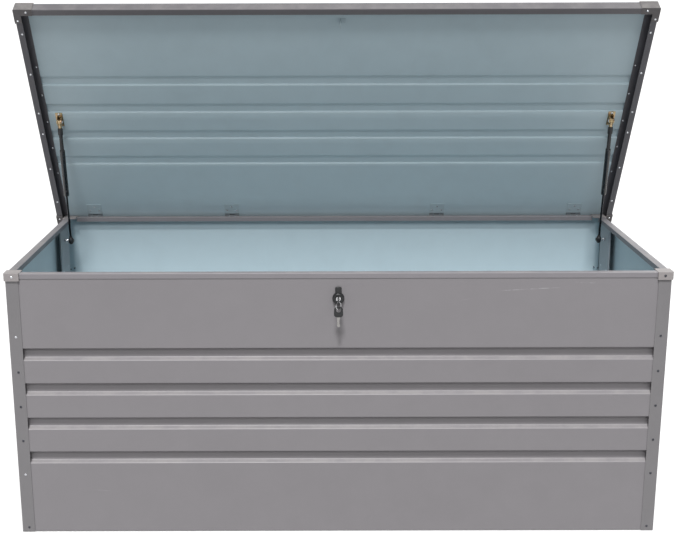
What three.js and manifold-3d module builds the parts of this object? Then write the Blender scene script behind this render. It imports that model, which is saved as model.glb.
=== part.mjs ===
// Steel deck storage box with a hinged lid, held open by two gas struts.
// Millimetres, +Z up, +X to the right, the front face looks along -Y.
// The origin is the centre of the footprint, on the ground. The lid stands open.

import * as THREE from 'three';
import * as BufferGeometryUtils from 'three/addons/utils/BufferGeometryUtils.js';
import Module from 'manifold-3d';

const wasm = await Module();
wasm.setup();

// ---------------------------------------------------------------- driving dimensions

const BOX_WIDTH = 1650;
const BOX_DEPTH = 708;
const RAIL_TOP = 697; // top of the rails round the mouth of the box
const SHEET = 0.9; // wall, floor and lid sheet
const FRAME = 1.2; // bent strip of the rails
const ANGLE = 1.5; // corner posts
const GAP = 0.3; // air between touching pieces

const RIB_COUNT = 4;
const RIB_PITCH = 92.8;
const RIB_MOUTH = 31.5;
const RIB_FLOOR = 20;
const RIB_DEPTH = 12;
const LID_RIB_FLOOR = 28; // the lid's ribs are shallow, with steep sides
const LID_RIB_DEPTH = 5;
const WALL_RIB_MIDDLE = 347.3; // height of the middle of the four wall ribs
const LID_RIB_MIDDLE = 354; // distance of the lid ribs' middle from the hinge axis

const POST_FLANGE = 32.5;
const POST_BEND = 3;
const TOP_RAIL_WIDTH = 20;
const TOP_RAIL_LEG = 13;
const BOTTOM_RAIL_WIDTH = 30;
const FLOOR_HEIGHT = 9; // top of the bottom rails
const FLOOR_RIB = 5;
const SUPPORT_WIDTH = 80;
const SUPPORT_WING = 20;

const CAP_SIZE = 39; // plastic corner caps of the box
const CAP_PROUD = 3.5;
const CAP_HEIGHT = 19.4;
const CAP_TOP = 697.9;
const CAP_CORNER = 7;

const LID_OVERHANG = 22.5;
const LID_OPEN = THREE.MathUtils.degToRad(60.8);
const LID_UNDERSIDE = 699.8; // inner face of the lid sheet when the lid is shut
const LID_SKIRT = 30; // depth of the lid's side and front rails
const LID_LIP = 17;
const LID_FLANGE = 28;
const LID_REAR_SKIRT = 13;
const LID_REAR_FLANGE = 12;
const LID_CAP_WIDTH = 50;
const LID_CAP_DEPTH = 42;
const LID_CAP_WALL = 1.6;
const LID_CAP_CORNER = 4;

const HINGE_BEHIND = 5; // hinge axis behind the rear face
const HINGE_HEIGHT = 696;
const HINGE_PLACES = [-736, -315, 315, 736];
const LEAF_WIDTH = 44;
const LEAF_REACH = 44;
const LEAF_DROP = 32;
const LEAF_THICK = 1.2;
const KNUCKLE_RADIUS = 3.4;
const KNUCKLE_MIDDLE = 15;
const PIN_RADIUS = 1.5;
const PIN_CLEARANCE = 0.35;

const STRUT_PLACE = 788; // distance of each strut from the middle of the box
const STRUT_PIVOT_REACH = 363; // lid pivot, from the hinge axis, lid shut
const STRUT_PIVOT_DROP = 13; // lid pivot, below the lid sheet
const BALL_Y = 236;
const BALL_Z = 647;
const TUBE_RADIUS = 7.5;
const TUBE_START = 84;
const TUBE_END = 225;
const SHANK_RADIUS = 5.3;
const FITTING_START = 20;
const FITTING_END = 40;
const FITTING_RADIUS = 7;
const EYE_RADIUS = 7;
const EYE_WIDTH = 8.4;
const EYE_BORE = 3.4;
const EYE_PIN = 3;
const ROD_RADIUS = 3;
const ROD_BORE = 3.4;
const PISTON_RADIUS = 5.8;
const BARREL_RADIUS = 6.2;
const PISTON_START = 212;
const PISTON_LENGTH = 2;
const COLLAR_LENGTH = 8;
const SOCKET_RADIUS = 8;
const SOCKET_NECK = 13.2;
const SOCKET_TAIL = 12;

const PLATE_WIDTH = 106; // strut plates on the side walls
const PLATE_MIDDLE_Y = 233;
const PLATE_STANDOFF = 19;
const PLATE_RETURN = 3.4;

const LOCK_HEIGHT = 633;
const LOCK_RADIUS = 15;
const LOCK_TAB_WIDTH = 16;
const LOCK_TAB_TOP = 29;
const LOCK_PROUD = 7;
const LOCK_BODY_RADIUS = 9.3;
const LOCK_BODY_END = 24;
const NUT_RADIUS = 14;
const NUT_THICK = 5;
const PLUG_RADIUS = 6;
const CAM_START = 27;
const CAM_THICK = 2;
const CAM_REACH = 40;
const CAM_WIDTH = 13;
const CAM_HOOK = 16;
const KEYWAY_WIDTH = 2.6;
const KEYWAY_HEIGHT = 7.6;

const KEY_HEAD_WIDTH = 23;
const KEY_HEAD_LENGTH = 27;
const KEY_HEAD_THICK = 3;
const KEY_BLADE_LENGTH = 26;
const KEY_BLADE_HEIGHT = 7;
const KEY_BLADE_THICK = 2;
const KEY_HOLE_RADIUS = 5.3;
const KEY_HOLE_INSET = 9; // hole centre from the end of the head
const RING_RADIUS = 8.6;
const RING_WIRE = 0.8;
const RING_SAG = 3; // wire below the middle of the hole it hangs in

const STRIKER_PLACE = 10;
const STRIKER_Y = -331;
const STRIKER_DEPTH = 13;
const STRIKER_DROP = 31;

const ROUND = 24; // sides of a small round piece

// ---------------------------------------------------------------- derived dimensions

const HALF_W = BOX_WIDTH / 2;
const HALF_D = BOX_DEPTH / 2;
const WALL_SETBACK = ANGLE + GAP; // outer face of a wall sheet behind the posts
const HINGE_Y = HALF_D + HINGE_BEHIND;
const LID_HALF_W = HALF_W + LID_OVERHANG;
const LID_FRONT = -HALF_D - LID_OVERHANG;
const LID_REAR = HALF_D + LID_OVERHANG;
const LID_RIM = LID_UNDERSIDE - LID_SKIRT;
const CAP_INNER_X = HALF_W + CAP_PROUD - CAP_SIZE;
const CAP_INNER_Y = HALF_D + CAP_PROUD - CAP_SIZE;
const POST_TOP = CAP_TOP - CAP_PROUD - GAP / 2;
const FLOOR_SHEET = FLOOR_HEIGHT + GAP;
const PLATE_FACE = HALF_W - PLATE_STANDOFF;

// ---------------------------------------------------------------- materials

const paint = (color, roughness, metalness) => new THREE.MeshStandardMaterial({ color, roughness, metalness });

const GREY_PAINT = paint(0x8c8a8d, 0.5, 0.3);
const LID_PAINT = paint(0x8a949b, 0.5, 0.3);
const FLOOR_ZINC = paint(0xa5b2b7, 0.45, 0.6);
const CAP_PLASTIC = paint(0xa09a9a, 0.6, 0);
const BLACK_PLASTIC = paint(0x17181a, 0.55, 0);
const BLACK_STEEL = paint(0x0f1215, 0.35, 0.4);
const BRIGHT_STEEL = paint(0xc4c6c8, 0.25, 0.9);
const ZINC_STEEL = paint(0xb4bcc0, 0.4, 0.8);
const BRASS = paint(0xa98b5a, 0.35, 0.9);

// ---------------------------------------------------------------- geometry helpers

function signedVolume(geometry) {
  const p = geometry.attributes.position;
  const index = geometry.index;
  const [a, b, c] = [new THREE.Vector3(), new THREE.Vector3(), new THREE.Vector3()];
  let volume = 0;
  for (let i = 0; i < index.count; i += 3) {
    a.fromBufferAttribute(p, index.getX(i));
    b.fromBufferAttribute(p, index.getX(i + 1));
    c.fromBufferAttribute(p, index.getX(i + 2));
    volume += a.dot(b.cross(c));
  }
  return volume;
}

// Shared vertices are merged and every face is turned outwards.
function tidy(geometry) {
  const plain = geometry.clone();
  for (const name of ['normal', 'uv', 'uv1', 'color']) plain.deleteAttribute(name);
  plain.clearGroups();
  const merged = BufferGeometryUtils.mergeVertices(plain, 1e-4);
  const keep = [];
  for (let i = 0; i < merged.index.count; i += 3) {
    const [a, b, c] = [merged.index.getX(i), merged.index.getX(i + 1), merged.index.getX(i + 2)];
    if (a !== b && b !== c && c !== a) keep.push(a, b, c);
  }
  merged.setIndex(keep);
  if (signedVolume(merged) < 0) {
    for (let i = 0; i < keep.length; i += 3) [keep[i + 1], keep[i + 2]] = [keep[i + 2], keep[i + 1]];
    merged.setIndex(keep);
  }
  return merged;
}

function solid(geometry) {
  const g = tidy(geometry);
  const mesh = new wasm.Mesh({
    numProp: 3,
    vertProperties: new Float32Array(g.attributes.position.array),
    triVerts: new Uint32Array(g.index.array),
  });
  return new wasm.Manifold(mesh);
}

function geometryOf(manifold) {
  const mesh = manifold.getMesh();
  const g = new THREE.BufferGeometry();
  g.setAttribute('position', new THREE.BufferAttribute(new Float32Array(mesh.vertProperties), 3));
  g.setIndex(new THREE.BufferAttribute(new Uint32Array(mesh.triVerts), 1));
  return g;
}

function join(...pieces) {
  const [first, ...rest] = pieces;
  return geometryOf(rest.reduce((whole, piece) => whole.add(solid(piece)), solid(first)));
}

function cut(body, ...tools) {
  return geometryOf(tools.reduce((whole, tool) => whole.subtract(solid(tool)), solid(body)));
}

// A block between two corners.
function block([x0, y0, z0], [x1, y1, z1]) {
  const g = new THREE.BoxGeometry(Math.abs(x1 - x0), Math.abs(y1 - y0), Math.abs(z1 - z0));
  return g.translate((x0 + x1) / 2, (y0 + y1) / 2, (z0 + z1) / 2);
}

// A cylinder along one axis, from one place on that axis to another.
function rod(axis, radius, from, to, [u, v] = [0, 0], sides = ROUND) {
  const g = new THREE.CylinderGeometry(radius, radius, Math.abs(to - from), sides);
  const middle = (from + to) / 2;
  if (axis === 'x') return g.rotateZ(Math.PI / 2).translate(middle, u, v);
  if (axis === 'y') return g.translate(u, middle, v);
  return g.rotateX(Math.PI / 2).translate(u, v, middle);
}

function shapeOf(points) {
  return new THREE.Shape(points.map(([x, y]) => new THREE.Vector2(x, y)));
}

function extrude(shape, length, curveSegments = 8) {
  return new THREE.ExtrudeGeometry(shape, { depth: length, bevelEnabled: false, curveSegments });
}

// A (Y, Z) outline drawn out along X.
function alongX(shape, from, to) {
  const turn = new THREE.Matrix4().makeBasis(
    new THREE.Vector3(0, 1, 0), new THREE.Vector3(0, 0, 1), new THREE.Vector3(1, 0, 0));
  return extrude(shape, to - from).applyMatrix4(turn).translate(from, 0, 0);
}

// An (X, Z) outline drawn out along Y.
function alongY(shape, from, to) {
  return extrude(shape, to - from).rotateX(Math.PI / 2).translate(0, to, 0);
}

// An (X, Y) outline drawn out along Z.
function alongZ(shape, from, to) {
  return extrude(shape, to - from).translate(0, 0, from);
}

// The outline of a bent strip: its outer line, and the same line moved inwards by the thickness.
function bentStrip(outer, thickness) {
  const inner = outer.map(([x, y], i) => {
    const before = outer[Math.max(i - 1, 0)];
    const after = outer[Math.min(i + 1, outer.length - 1)];
    const sides = [[before, [x, y]], [[x, y], after]].filter(([a, b]) => a[0] !== b[0] || a[1] !== b[1]);
    const normals = sides.map(([a, b]) => {
      const length = Math.hypot(b[0] - a[0], b[1] - a[1]);
      return [(b[1] - a[1]) / length, -(b[0] - a[0]) / length];
    });
    const sum = [0, 1].map((k) => normals.reduce((total, n) => total + n[k], 0) / normals.length);
    const scale = thickness / (sum[0] ** 2 + sum[1] ** 2);
    return [x + sum[0] * scale, y + sum[1] * scale];
  });
  return shapeOf([...outer, ...inner.reverse()]);
}

// The same line with its inner corners turned on a radius.
function roundedLine(points, radius, steps = 4) {
  const line = [points[0]];
  for (let i = 1; i < points.length - 1; i += 1) {
    const corner = new THREE.Vector2(...points[i]);
    const start = new THREE.Vector2(...points[i - 1]).sub(corner).setLength(radius).add(corner);
    const end = new THREE.Vector2(...points[i + 1]).sub(corner).setLength(radius).add(corner);
    const bend = new THREE.QuadraticBezierCurve(start, corner, end);
    line.push(...bend.getPoints(steps).map((p) => [p.x, p.y]));
  }
  line.push(points[points.length - 1]);
  return line;
}

// A body of revolution about local Z from [radius, z] points.
function turned(points, sides = ROUND) {
  const profile = points.map(([r, z]) => new THREE.Vector2(r, z));
  return new THREE.LatheGeometry(profile, sides).rotateX(Math.PI / 2);
}

function mirroredX(geometry) {
  return tidy(geometry.clone().scale(-1, 1, 1));
}

function mirroredY(geometry) {
  return tidy(geometry.clone().scale(1, -1, 1));
}

// A pressed sheet lying in X and Z with its outer face on y = 0, looking along -Y. Each rib runs
// across the whole width but for flat margins, and is pressed towards +Y by its depth.
function ribbedSheet({ width, height, ribs, mouth, floor, depth, margin, slope }) {
  const half = width / 2;
  const across = [[-half, 0], [-half + margin, 0], [-half + margin + slope, 1]];
  across.push([half - margin - slope, 1], [half - margin, 0], [half, 0]);
  const up = [[0, 0]];
  for (const middle of ribs) {
    up.push([middle - mouth / 2, 0], [middle - floor / 2, 1], [middle + floor / 2, 1], [middle + mouth / 2, 0]);
  }
  up.push([height, 0]);
  const positions = [];
  for (const face of [0, SHEET]) {
    for (const [z, fz] of up) {
      for (const [x, fx] of across) positions.push(x, depth * fx * fz + face, z);
    }
  }
  const columns = across.length;
  const rows = up.length;
  const layer = columns * rows;
  const index = [];
  const quad = (a, b, c, d) => index.push(a, b, c, a, c, d);
  for (let r = 0; r < rows - 1; r += 1) {
    for (let c = 0; c < columns - 1; c += 1) {
      const a = r * columns + c;
      quad(a, a + 1, a + columns + 1, a + columns);
      quad(layer + a, layer + a + columns, layer + a + columns + 1, layer + a + 1);
    }
  }
  for (let c = 0; c < columns - 1; c += 1) {
    const top = (rows - 1) * columns + c;
    quad(c, c + layer, c + layer + 1, c + 1);
    quad(top, top + 1, top + layer + 1, top + layer);
  }
  for (let r = 0; r < rows - 1; r += 1) {
    const left = r * columns;
    const right = left + columns - 1;
    quad(left, left + columns, left + columns + layer, left + layer);
    quad(right, right + layer, right + columns + layer, right + columns);
  }
  const g = new THREE.BufferGeometry();
  g.setAttribute('position', new THREE.BufferAttribute(new Float32Array(positions), 3));
  g.setIndex(index);
  return g;
}

function ribPlaces(middle) {
  return Array.from({ length: RIB_COUNT }, (_, i) => middle + (i - (RIB_COUNT - 1) / 2) * RIB_PITCH);
}

// ---------------------------------------------------------------- scene graph

const group = new THREE.Group();
const lid = new THREE.Group();
lid.position.set(0, HINGE_Y, HINGE_HEIGHT);
lid.rotation.x = -LID_OPEN;
group.add(lid);

function place(parent, name, geometry, material) {
  const mesh = new THREE.Mesh(tidy(geometry), material);
  mesh.name = name;
  parent.add(mesh);
  return mesh;
}

// Lid pieces are drawn where they lie with the lid shut, then handed to the turned lid group.
function placeOnLid(name, geometry, material) {
  return place(lid, name, geometry.clone().translate(0, -HINGE_Y, -HINGE_HEIGHT), material);
}

// ---------------------------------------------------------------- walls and floor

function wallSheet(width) {
  return ribbedSheet({
    width,
    height: POST_TOP - 0.8,
    ribs: ribPlaces(WALL_RIB_MIDDLE - 0.8),
    mouth: RIB_MOUTH,
    floor: RIB_FLOOR,
    depth: RIB_DEPTH,
    margin: 10,
    slope: 8,
  }).translate(0, 0, 0.8);
}

function addWalls() {
  const frontWidth = 2 * (HALF_W - WALL_SETBACK - 2);
  const sideWidth = 2 * (HALF_D - WALL_SETBACK - SHEET - GAP);
  const lockHole = rod('y', LOCK_BODY_RADIUS + 0.5, -HALF_D - 5, -HALF_D + 20, [0, LOCK_HEIGHT]);
  const front = wallSheet(frontWidth).translate(0, -HALF_D + WALL_SETBACK, 0);
  place(group, 'front_panel', cut(front, lockHole), GREY_PAINT);
  const rear = wallSheet(frontWidth).rotateZ(Math.PI).translate(0, HALF_D - WALL_SETBACK, 0);
  place(group, 'rear_panel', rear, GREY_PAINT);
  const left = wallSheet(sideWidth).rotateZ(-Math.PI / 2).translate(-HALF_W + WALL_SETBACK, 0, 0);
  place(group, 'left_panel', left, GREY_PAINT);
  const right = wallSheet(sideWidth).rotateZ(Math.PI / 2).translate(HALF_W - WALL_SETBACK, 0, 0);
  place(group, 'right_panel', right, GREY_PAINT);
}

function addFloor() {
  const width = 2 * (HALF_W - WALL_SETBACK - SHEET - 2 * GAP);
  const length = 2 * (HALF_D - WALL_SETBACK - SHEET - 2 * GAP);
  const ribs = [-2, -1, 0, 1, 2].map((i) => length / 2 + i * 110);
  const sheet = ribbedSheet({
    width, height: length, ribs, mouth: 40, floor: 24, depth: FLOOR_RIB, margin: 40, slope: 10,
  });
  const floor = sheet.rotateX(Math.PI / 2).translate(0, length / 2, FLOOR_SHEET);
  place(group, 'floor_panel', floor, FLOOR_ZINC);

  const half = SUPPORT_WIDTH / 2;
  const line = [
    [half + SUPPORT_WING, FLOOR_HEIGHT - FRAME], [half, FLOOR_HEIGHT - FRAME], [half, 0],
    [-half, 0], [-half, FLOOR_HEIGHT - FRAME], [-half - SUPPORT_WING, FLOOR_HEIGHT - FRAME],
  ];
  const reach = HALF_D - WALL_SETBACK - SHEET - GAP - BOTTOM_RAIL_WIDTH - GAP;
  place(group, 'floor_support', alongY(bentStrip(line, FRAME), -reach, reach), ZINC_STEEL);
}

// ---------------------------------------------------------------- frame of the box

function addPosts() {
  const corner = [
    [-HALF_W, -HALF_D + POST_FLANGE], [-HALF_W, -HALF_D], [-HALF_W + POST_FLANGE, -HALF_D],
  ];
  const outline = bentStrip(roundedLine(corner, POST_BEND).reverse(), ANGLE);
  const frontLeft = alongZ(outline, 0, POST_TOP);
  place(group, 'post_front_left', frontLeft, GREY_PAINT);
  place(group, 'post_front_right', mirroredX(frontLeft), GREY_PAINT);
  place(group, 'post_rear_left', mirroredY(frontLeft), GREY_PAINT);
  place(group, 'post_rear_right', mirroredX(mirroredY(frontLeft)), GREY_PAINT);
}

function addTopRails() {
  const low = RAIL_TOP - TOP_RAIL_LEG;
  const channel = (outer, inner) => roundedLine([[outer, low], [outer, RAIL_TOP], [inner, RAIL_TOP], [inner, low]], 2, 3);
  const endX = CAP_INNER_X - GAP;
  const endY = CAP_INNER_Y - GAP;
  const outerY = -HALF_D + GAP;
  const front = alongX(bentStrip(channel(outerY, outerY + TOP_RAIL_WIDTH), FRAME), -endX, endX);
  place(group, 'top_rail_front', front, GREY_PAINT);
  place(group, 'top_rail_rear', mirroredY(front), GREY_PAINT);
  const outerX = -HALF_W + GAP;
  const left = alongY(bentStrip(channel(outerX, outerX + TOP_RAIL_WIDTH), FRAME), -endY, endY);
  place(group, 'top_rail_left', left, GREY_PAINT);
  place(group, 'top_rail_right', mirroredX(left), GREY_PAINT);
}

function addBottomRails() {
  const channel = (outer) => [
    [outer + BOTTOM_RAIL_WIDTH, 0], [outer, 0], [outer, FLOOR_HEIGHT], [outer + BOTTOM_RAIL_WIDTH, FLOOR_HEIGHT],
  ];
  const inset = WALL_SETBACK + SHEET + GAP;
  const endX = HALF_W - inset;
  const front = alongX(bentStrip(channel(-HALF_D + inset), FRAME), -endX, endX);
  place(group, 'bottom_rail_front', front, GREY_PAINT);
  place(group, 'bottom_rail_rear', mirroredY(front), GREY_PAINT);
  const endY = HALF_D - inset - BOTTOM_RAIL_WIDTH - GAP;
  const left = alongY(bentStrip(channel(-HALF_W + inset), FRAME), -endY, endY);
  place(group, 'bottom_rail_left', left, GREY_PAINT);
  place(group, 'bottom_rail_right', mirroredX(left), GREY_PAINT);
}

// A square outline whose outer corner, at low x and low y, is round.
function cornerOutline(x0, y0, x1, y1, radius) {
  const shape = new THREE.Shape();
  shape.moveTo(x0 + radius, y0);
  shape.lineTo(x1, y0);
  shape.lineTo(x1, y1);
  shape.lineTo(x0, y1);
  shape.lineTo(x0, y0 + radius);
  shape.quadraticCurveTo(x0, y0, x0 + radius, y0);
  return shape;
}

function addBoxCaps() {
  const [outX, outY] = [-HALF_W - CAP_PROUD, -HALF_D - CAP_PROUD];
  const body = alongZ(cornerOutline(outX, outY, outX + CAP_SIZE, outY + CAP_SIZE, CAP_CORNER),
    CAP_TOP - CAP_HEIGHT, CAP_TOP);
  const hollow = block([-HALF_W - GAP, -HALF_D - GAP, 0], [-HALF_W + CAP_SIZE, -HALF_D + CAP_SIZE, POST_TOP + GAP]);
  const frontLeft = cut(body, hollow);
  place(group, 'cap_front_left', frontLeft, CAP_PLASTIC);
  place(group, 'cap_front_right', mirroredX(frontLeft), CAP_PLASTIC);
  place(group, 'cap_rear_left', mirroredY(frontLeft), CAP_PLASTIC);
  place(group, 'cap_rear_right', mirroredX(mirroredY(frontLeft)), CAP_PLASTIC);
}

// ---------------------------------------------------------------- strut plates and ball studs

function addStrutMounts() {
  const [front, rear] = [PLATE_MIDDLE_Y - PLATE_WIDTH / 2, PLATE_MIDDLE_Y + PLATE_WIDTH / 2];
  const line = [
    [-PLATE_FACE - PLATE_RETURN, rear], [-PLATE_FACE, rear], [-PLATE_FACE, front], [-PLATE_FACE - PLATE_RETURN, front],
  ];
  const top = RAIL_TOP - TOP_RAIL_LEG - GAP;
  const left = alongZ(bentStrip(line, FRAME), FLOOR_SHEET + SHEET + GAP, top);
  place(group, 'strut_plate_left', left, GREY_PAINT);
  place(group, 'strut_plate_right', mirroredX(left), GREY_PAINT);

  const seat = -PLATE_FACE + GAP;
  const neckEnd = -STRUT_PLACE - SOCKET_RADIUS - 0.8;
  const stud = join(
    rod('x', 6.5, seat, seat + 2.4, [BALL_Y, BALL_Z], 6),
    rod('x', 3.2, seat + 1, neckEnd, [BALL_Y, BALL_Z]),
    rod('x', 4.6, neckEnd - 2, neckEnd, [BALL_Y, BALL_Z]));
  place(group, 'ball_stud_left', stud, BRIGHT_STEEL);
  place(group, 'ball_stud_right', mirroredX(stud), BRIGHT_STEEL);
}

// ---------------------------------------------------------------- hinges

function addHinges() {
  const half = LEAF_WIDTH / 2;
  const axis = [HINGE_Y, HINGE_HEIGHT];
  const leafY = HALF_D + GAP;
  const lowBridge = HINGE_HEIGHT - KNUCKLE_RADIUS;
  const leafTop = HINGE_HEIGHT + KNUCKLE_RADIUS;
  HINGE_PLACES.forEach((x, i) => {
    const outerKnuckles = [-1, 1].map((side) =>
      rod('x', KNUCKLE_RADIUS, x + side * (KNUCKLE_MIDDLE / 2 + GAP), x + side * half, axis));
    const wings = [-1, 1].map((side) =>
      block([x + side * (KNUCKLE_MIDDLE / 2 + GAP), leafY, lowBridge - 2],
        [x + side * half, HINGE_Y, lowBridge + LEAF_THICK]));
    const plate = block([x - half, leafY, lowBridge - LEAF_DROP], [x + half, leafY + LEAF_THICK, lowBridge]);
    const shelf = block([x - half - 1, leafY + LEAF_THICK, lowBridge - 5], [x + half + 1, HINGE_Y + 5, lowBridge]);
    const pin = rod('x', PIN_RADIUS, x - half, x + half, axis);
    const base = cut(join(...outerKnuckles, ...wings, plate), shelf);
    place(group, `hinge_base_${i + 1}`, join(base, pin), ZINC_STEEL);

    const knuckle = rod('x', KNUCKLE_RADIUS, x - KNUCKLE_MIDDLE / 2, x + KNUCKLE_MIDDLE / 2, axis);
    const neck = block([x - KNUCKLE_MIDDLE / 2, HINGE_Y - 6, leafTop - LEAF_THICK],
      [x + KNUCKLE_MIDDLE / 2, HINGE_Y, leafTop]);
    const leaf = block([x - half, HINGE_Y - LEAF_REACH, leafTop - LEAF_THICK],
      [x + half, HINGE_Y - KNUCKLE_RADIUS - 1, leafTop]);
    const bore = rod('x', PIN_RADIUS + PIN_CLEARANCE, x - half, x + half, axis);
    placeOnLid(`hinge_leaf_${i + 1}`, cut(join(knuckle, neck, leaf), bore), ZINC_STEEL);
  });
}

// ---------------------------------------------------------------- lid

function addLidSheet() {
  const length = LID_REAR - LID_FRONT;
  const sheet = ribbedSheet({
    width: 2 * LID_HALF_W,
    height: length,
    ribs: ribPlaces(HINGE_Y - LID_RIB_MIDDLE - LID_FRONT),
    mouth: RIB_MOUTH,
    floor: LID_RIB_FLOOR,
    depth: -LID_RIB_DEPTH,
    margin: 12,
    slope: 10,
  });
  // laid down, the sheet's outer face looks up and its height runs towards the rear
  const laid = sheet.rotateX(-Math.PI / 2).translate(0, LID_FRONT, LID_UNDERSIDE + SHEET);
  placeOnLid('lid_panel', laid, LID_PAINT);
}

function addLidRails() {
  const flangeTop = LID_UNDERSIDE - GAP;
  const channel = (outer, inward) => roundedLine([
    [outer + inward * LID_FLANGE, flangeTop], [outer, flangeTop],
    [outer, LID_RIM], [outer + inward * LID_LIP, LID_RIM],
  ], 2, 3);
  const ends = LID_HALF_W - GAP;
  const front = alongX(bentStrip(channel(LID_FRONT, 1).reverse(), FRAME), -ends, ends);
  placeOnLid('lid_rail_front', front, GREY_PAINT);

  const rearLine = roundedLine([
    [LID_REAR, flangeTop - LID_REAR_SKIRT], [LID_REAR, flangeTop], [LID_REAR - LID_REAR_FLANGE, flangeTop],
  ], 2, 3);
  placeOnLid('lid_rail_rear', alongX(bentStrip(rearLine.reverse(), FRAME), -ends, ends), GREY_PAINT);

  const from = LID_FRONT + LID_FLANGE + GAP;
  const to = LID_REAR - LID_REAR_FLANGE - GAP;
  const left = alongY(bentStrip(channel(-LID_HALF_W, 1).reverse(), FRAME), from, to);
  placeOnLid('lid_rail_left', left, GREY_PAINT);
  placeOnLid('lid_rail_right', mirroredX(left), GREY_PAINT);
}

function lidCap(rear) {
  const grow = GAP + LID_CAP_WALL;
  const [outX, outY] = [-LID_HALF_W - grow, -grow];
  const [low, high] = [LID_RIM - grow, LID_UNDERSIDE + SHEET + grow];
  const body = alongZ(cornerOutline(outX, outY, outX + LID_CAP_WIDTH, outY + LID_CAP_DEPTH, LID_CAP_CORNER), low, high);
  const sleeve = block([-LID_HALF_W - GAP, -GAP, LID_RIM - GAP], [outX + 99, outY + 99, high - LID_CAP_WALL]);
  const mouth = block([-LID_HALF_W + LID_LIP, rear ? -GAP : LID_LIP, low - 9], [outX + 99, outY + 99, high - LID_CAP_WALL]);
  if (!rear) return cut(body, sleeve, mouth);
  const shallow = block([-LID_HALF_W + LID_LIP, outY - 9, low - 9],
    [outX + 99, outY + 99, LID_UNDERSIDE - GAP - LID_REAR_SKIRT - GAP]);
  return cut(body, sleeve, mouth, shallow);
}

function addLidCaps() {
  const front = lidCap(false).translate(0, LID_FRONT, 0);
  const rear = mirroredY(lidCap(true)).translate(0, LID_REAR, 0);
  placeOnLid('lid_cap_front_left', front, CAP_PLASTIC);
  placeOnLid('lid_cap_front_right', mirroredX(front), CAP_PLASTIC);
  placeOnLid('lid_cap_rear_left', rear, CAP_PLASTIC);
  placeOnLid('lid_cap_rear_right', mirroredX(rear), CAP_PLASTIC);
}

function addStrutBrackets() {
  const y = HINGE_Y - STRUT_PIVOT_REACH;
  const z = LID_UNDERSIDE - STRUT_PIVOT_DROP;
  const top = LID_UNDERSIDE - GAP;
  const ear = EYE_WIDTH / 2 + 0.4;
  const base = block([-STRUT_PLACE - 11, y - 23, top - 1.5], [-STRUT_PLACE + 9, y + 23, top]);
  const ears = [-1, 1].map((side) => {
    const [near, far] = [-STRUT_PLACE + side * ear, -STRUT_PLACE + side * (ear + 2)];
    return join(
      block([near, y - 12, z], [far, y + 12, top - 1]),
      rod('x', 8, near, far, [y, z]));
  });
  const pin = rod('x', EYE_PIN, -STRUT_PLACE - ear - 3.2, -STRUT_PLACE + ear + 3.2, [y, z]);
  const left = join(base, ...ears, pin);
  placeOnLid('strut_bracket_left', left, BRASS);
  placeOnLid('strut_bracket_right', mirroredX(left), BRASS);
}

// A thin plate across the lock's cam, with a window for the cam's hook.
function addStriker() {
  const top = LID_UNDERSIDE - GAP;
  const [y0, y1] = [STRIKER_Y, STRIKER_Y + STRIKER_DEPTH];
  const plate = block([STRIKER_PLACE, y0, top - STRIKER_DROP], [STRIKER_PLACE + 1.5, y1, top]);
  const foot = block([STRIKER_PLACE, y0, top - 1.5], [STRIKER_PLACE + 15, y1, top]);
  const hook = LOCK_HEIGHT + CAM_REACH;
  const window = block([STRIKER_PLACE - 1, y0 + 2.2, hook - 1.2], [STRIKER_PLACE + 3, y1 - 3.4, hook + 8]);
  placeOnLid('lid_striker', cut(join(plate, foot), window), ZINC_STEEL);
}

// ---------------------------------------------------------------- gas struts

function pivotWhenOpen() {
  const y = -STRUT_PIVOT_REACH;
  const z = LID_UNDERSIDE - STRUT_PIVOT_DROP - HINGE_HEIGHT;
  const [c, s] = [Math.cos(-LID_OPEN), Math.sin(-LID_OPEN)];
  return [HINGE_Y + y * c - z * s, HINGE_HEIGHT + y * s + z * c];
}

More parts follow.
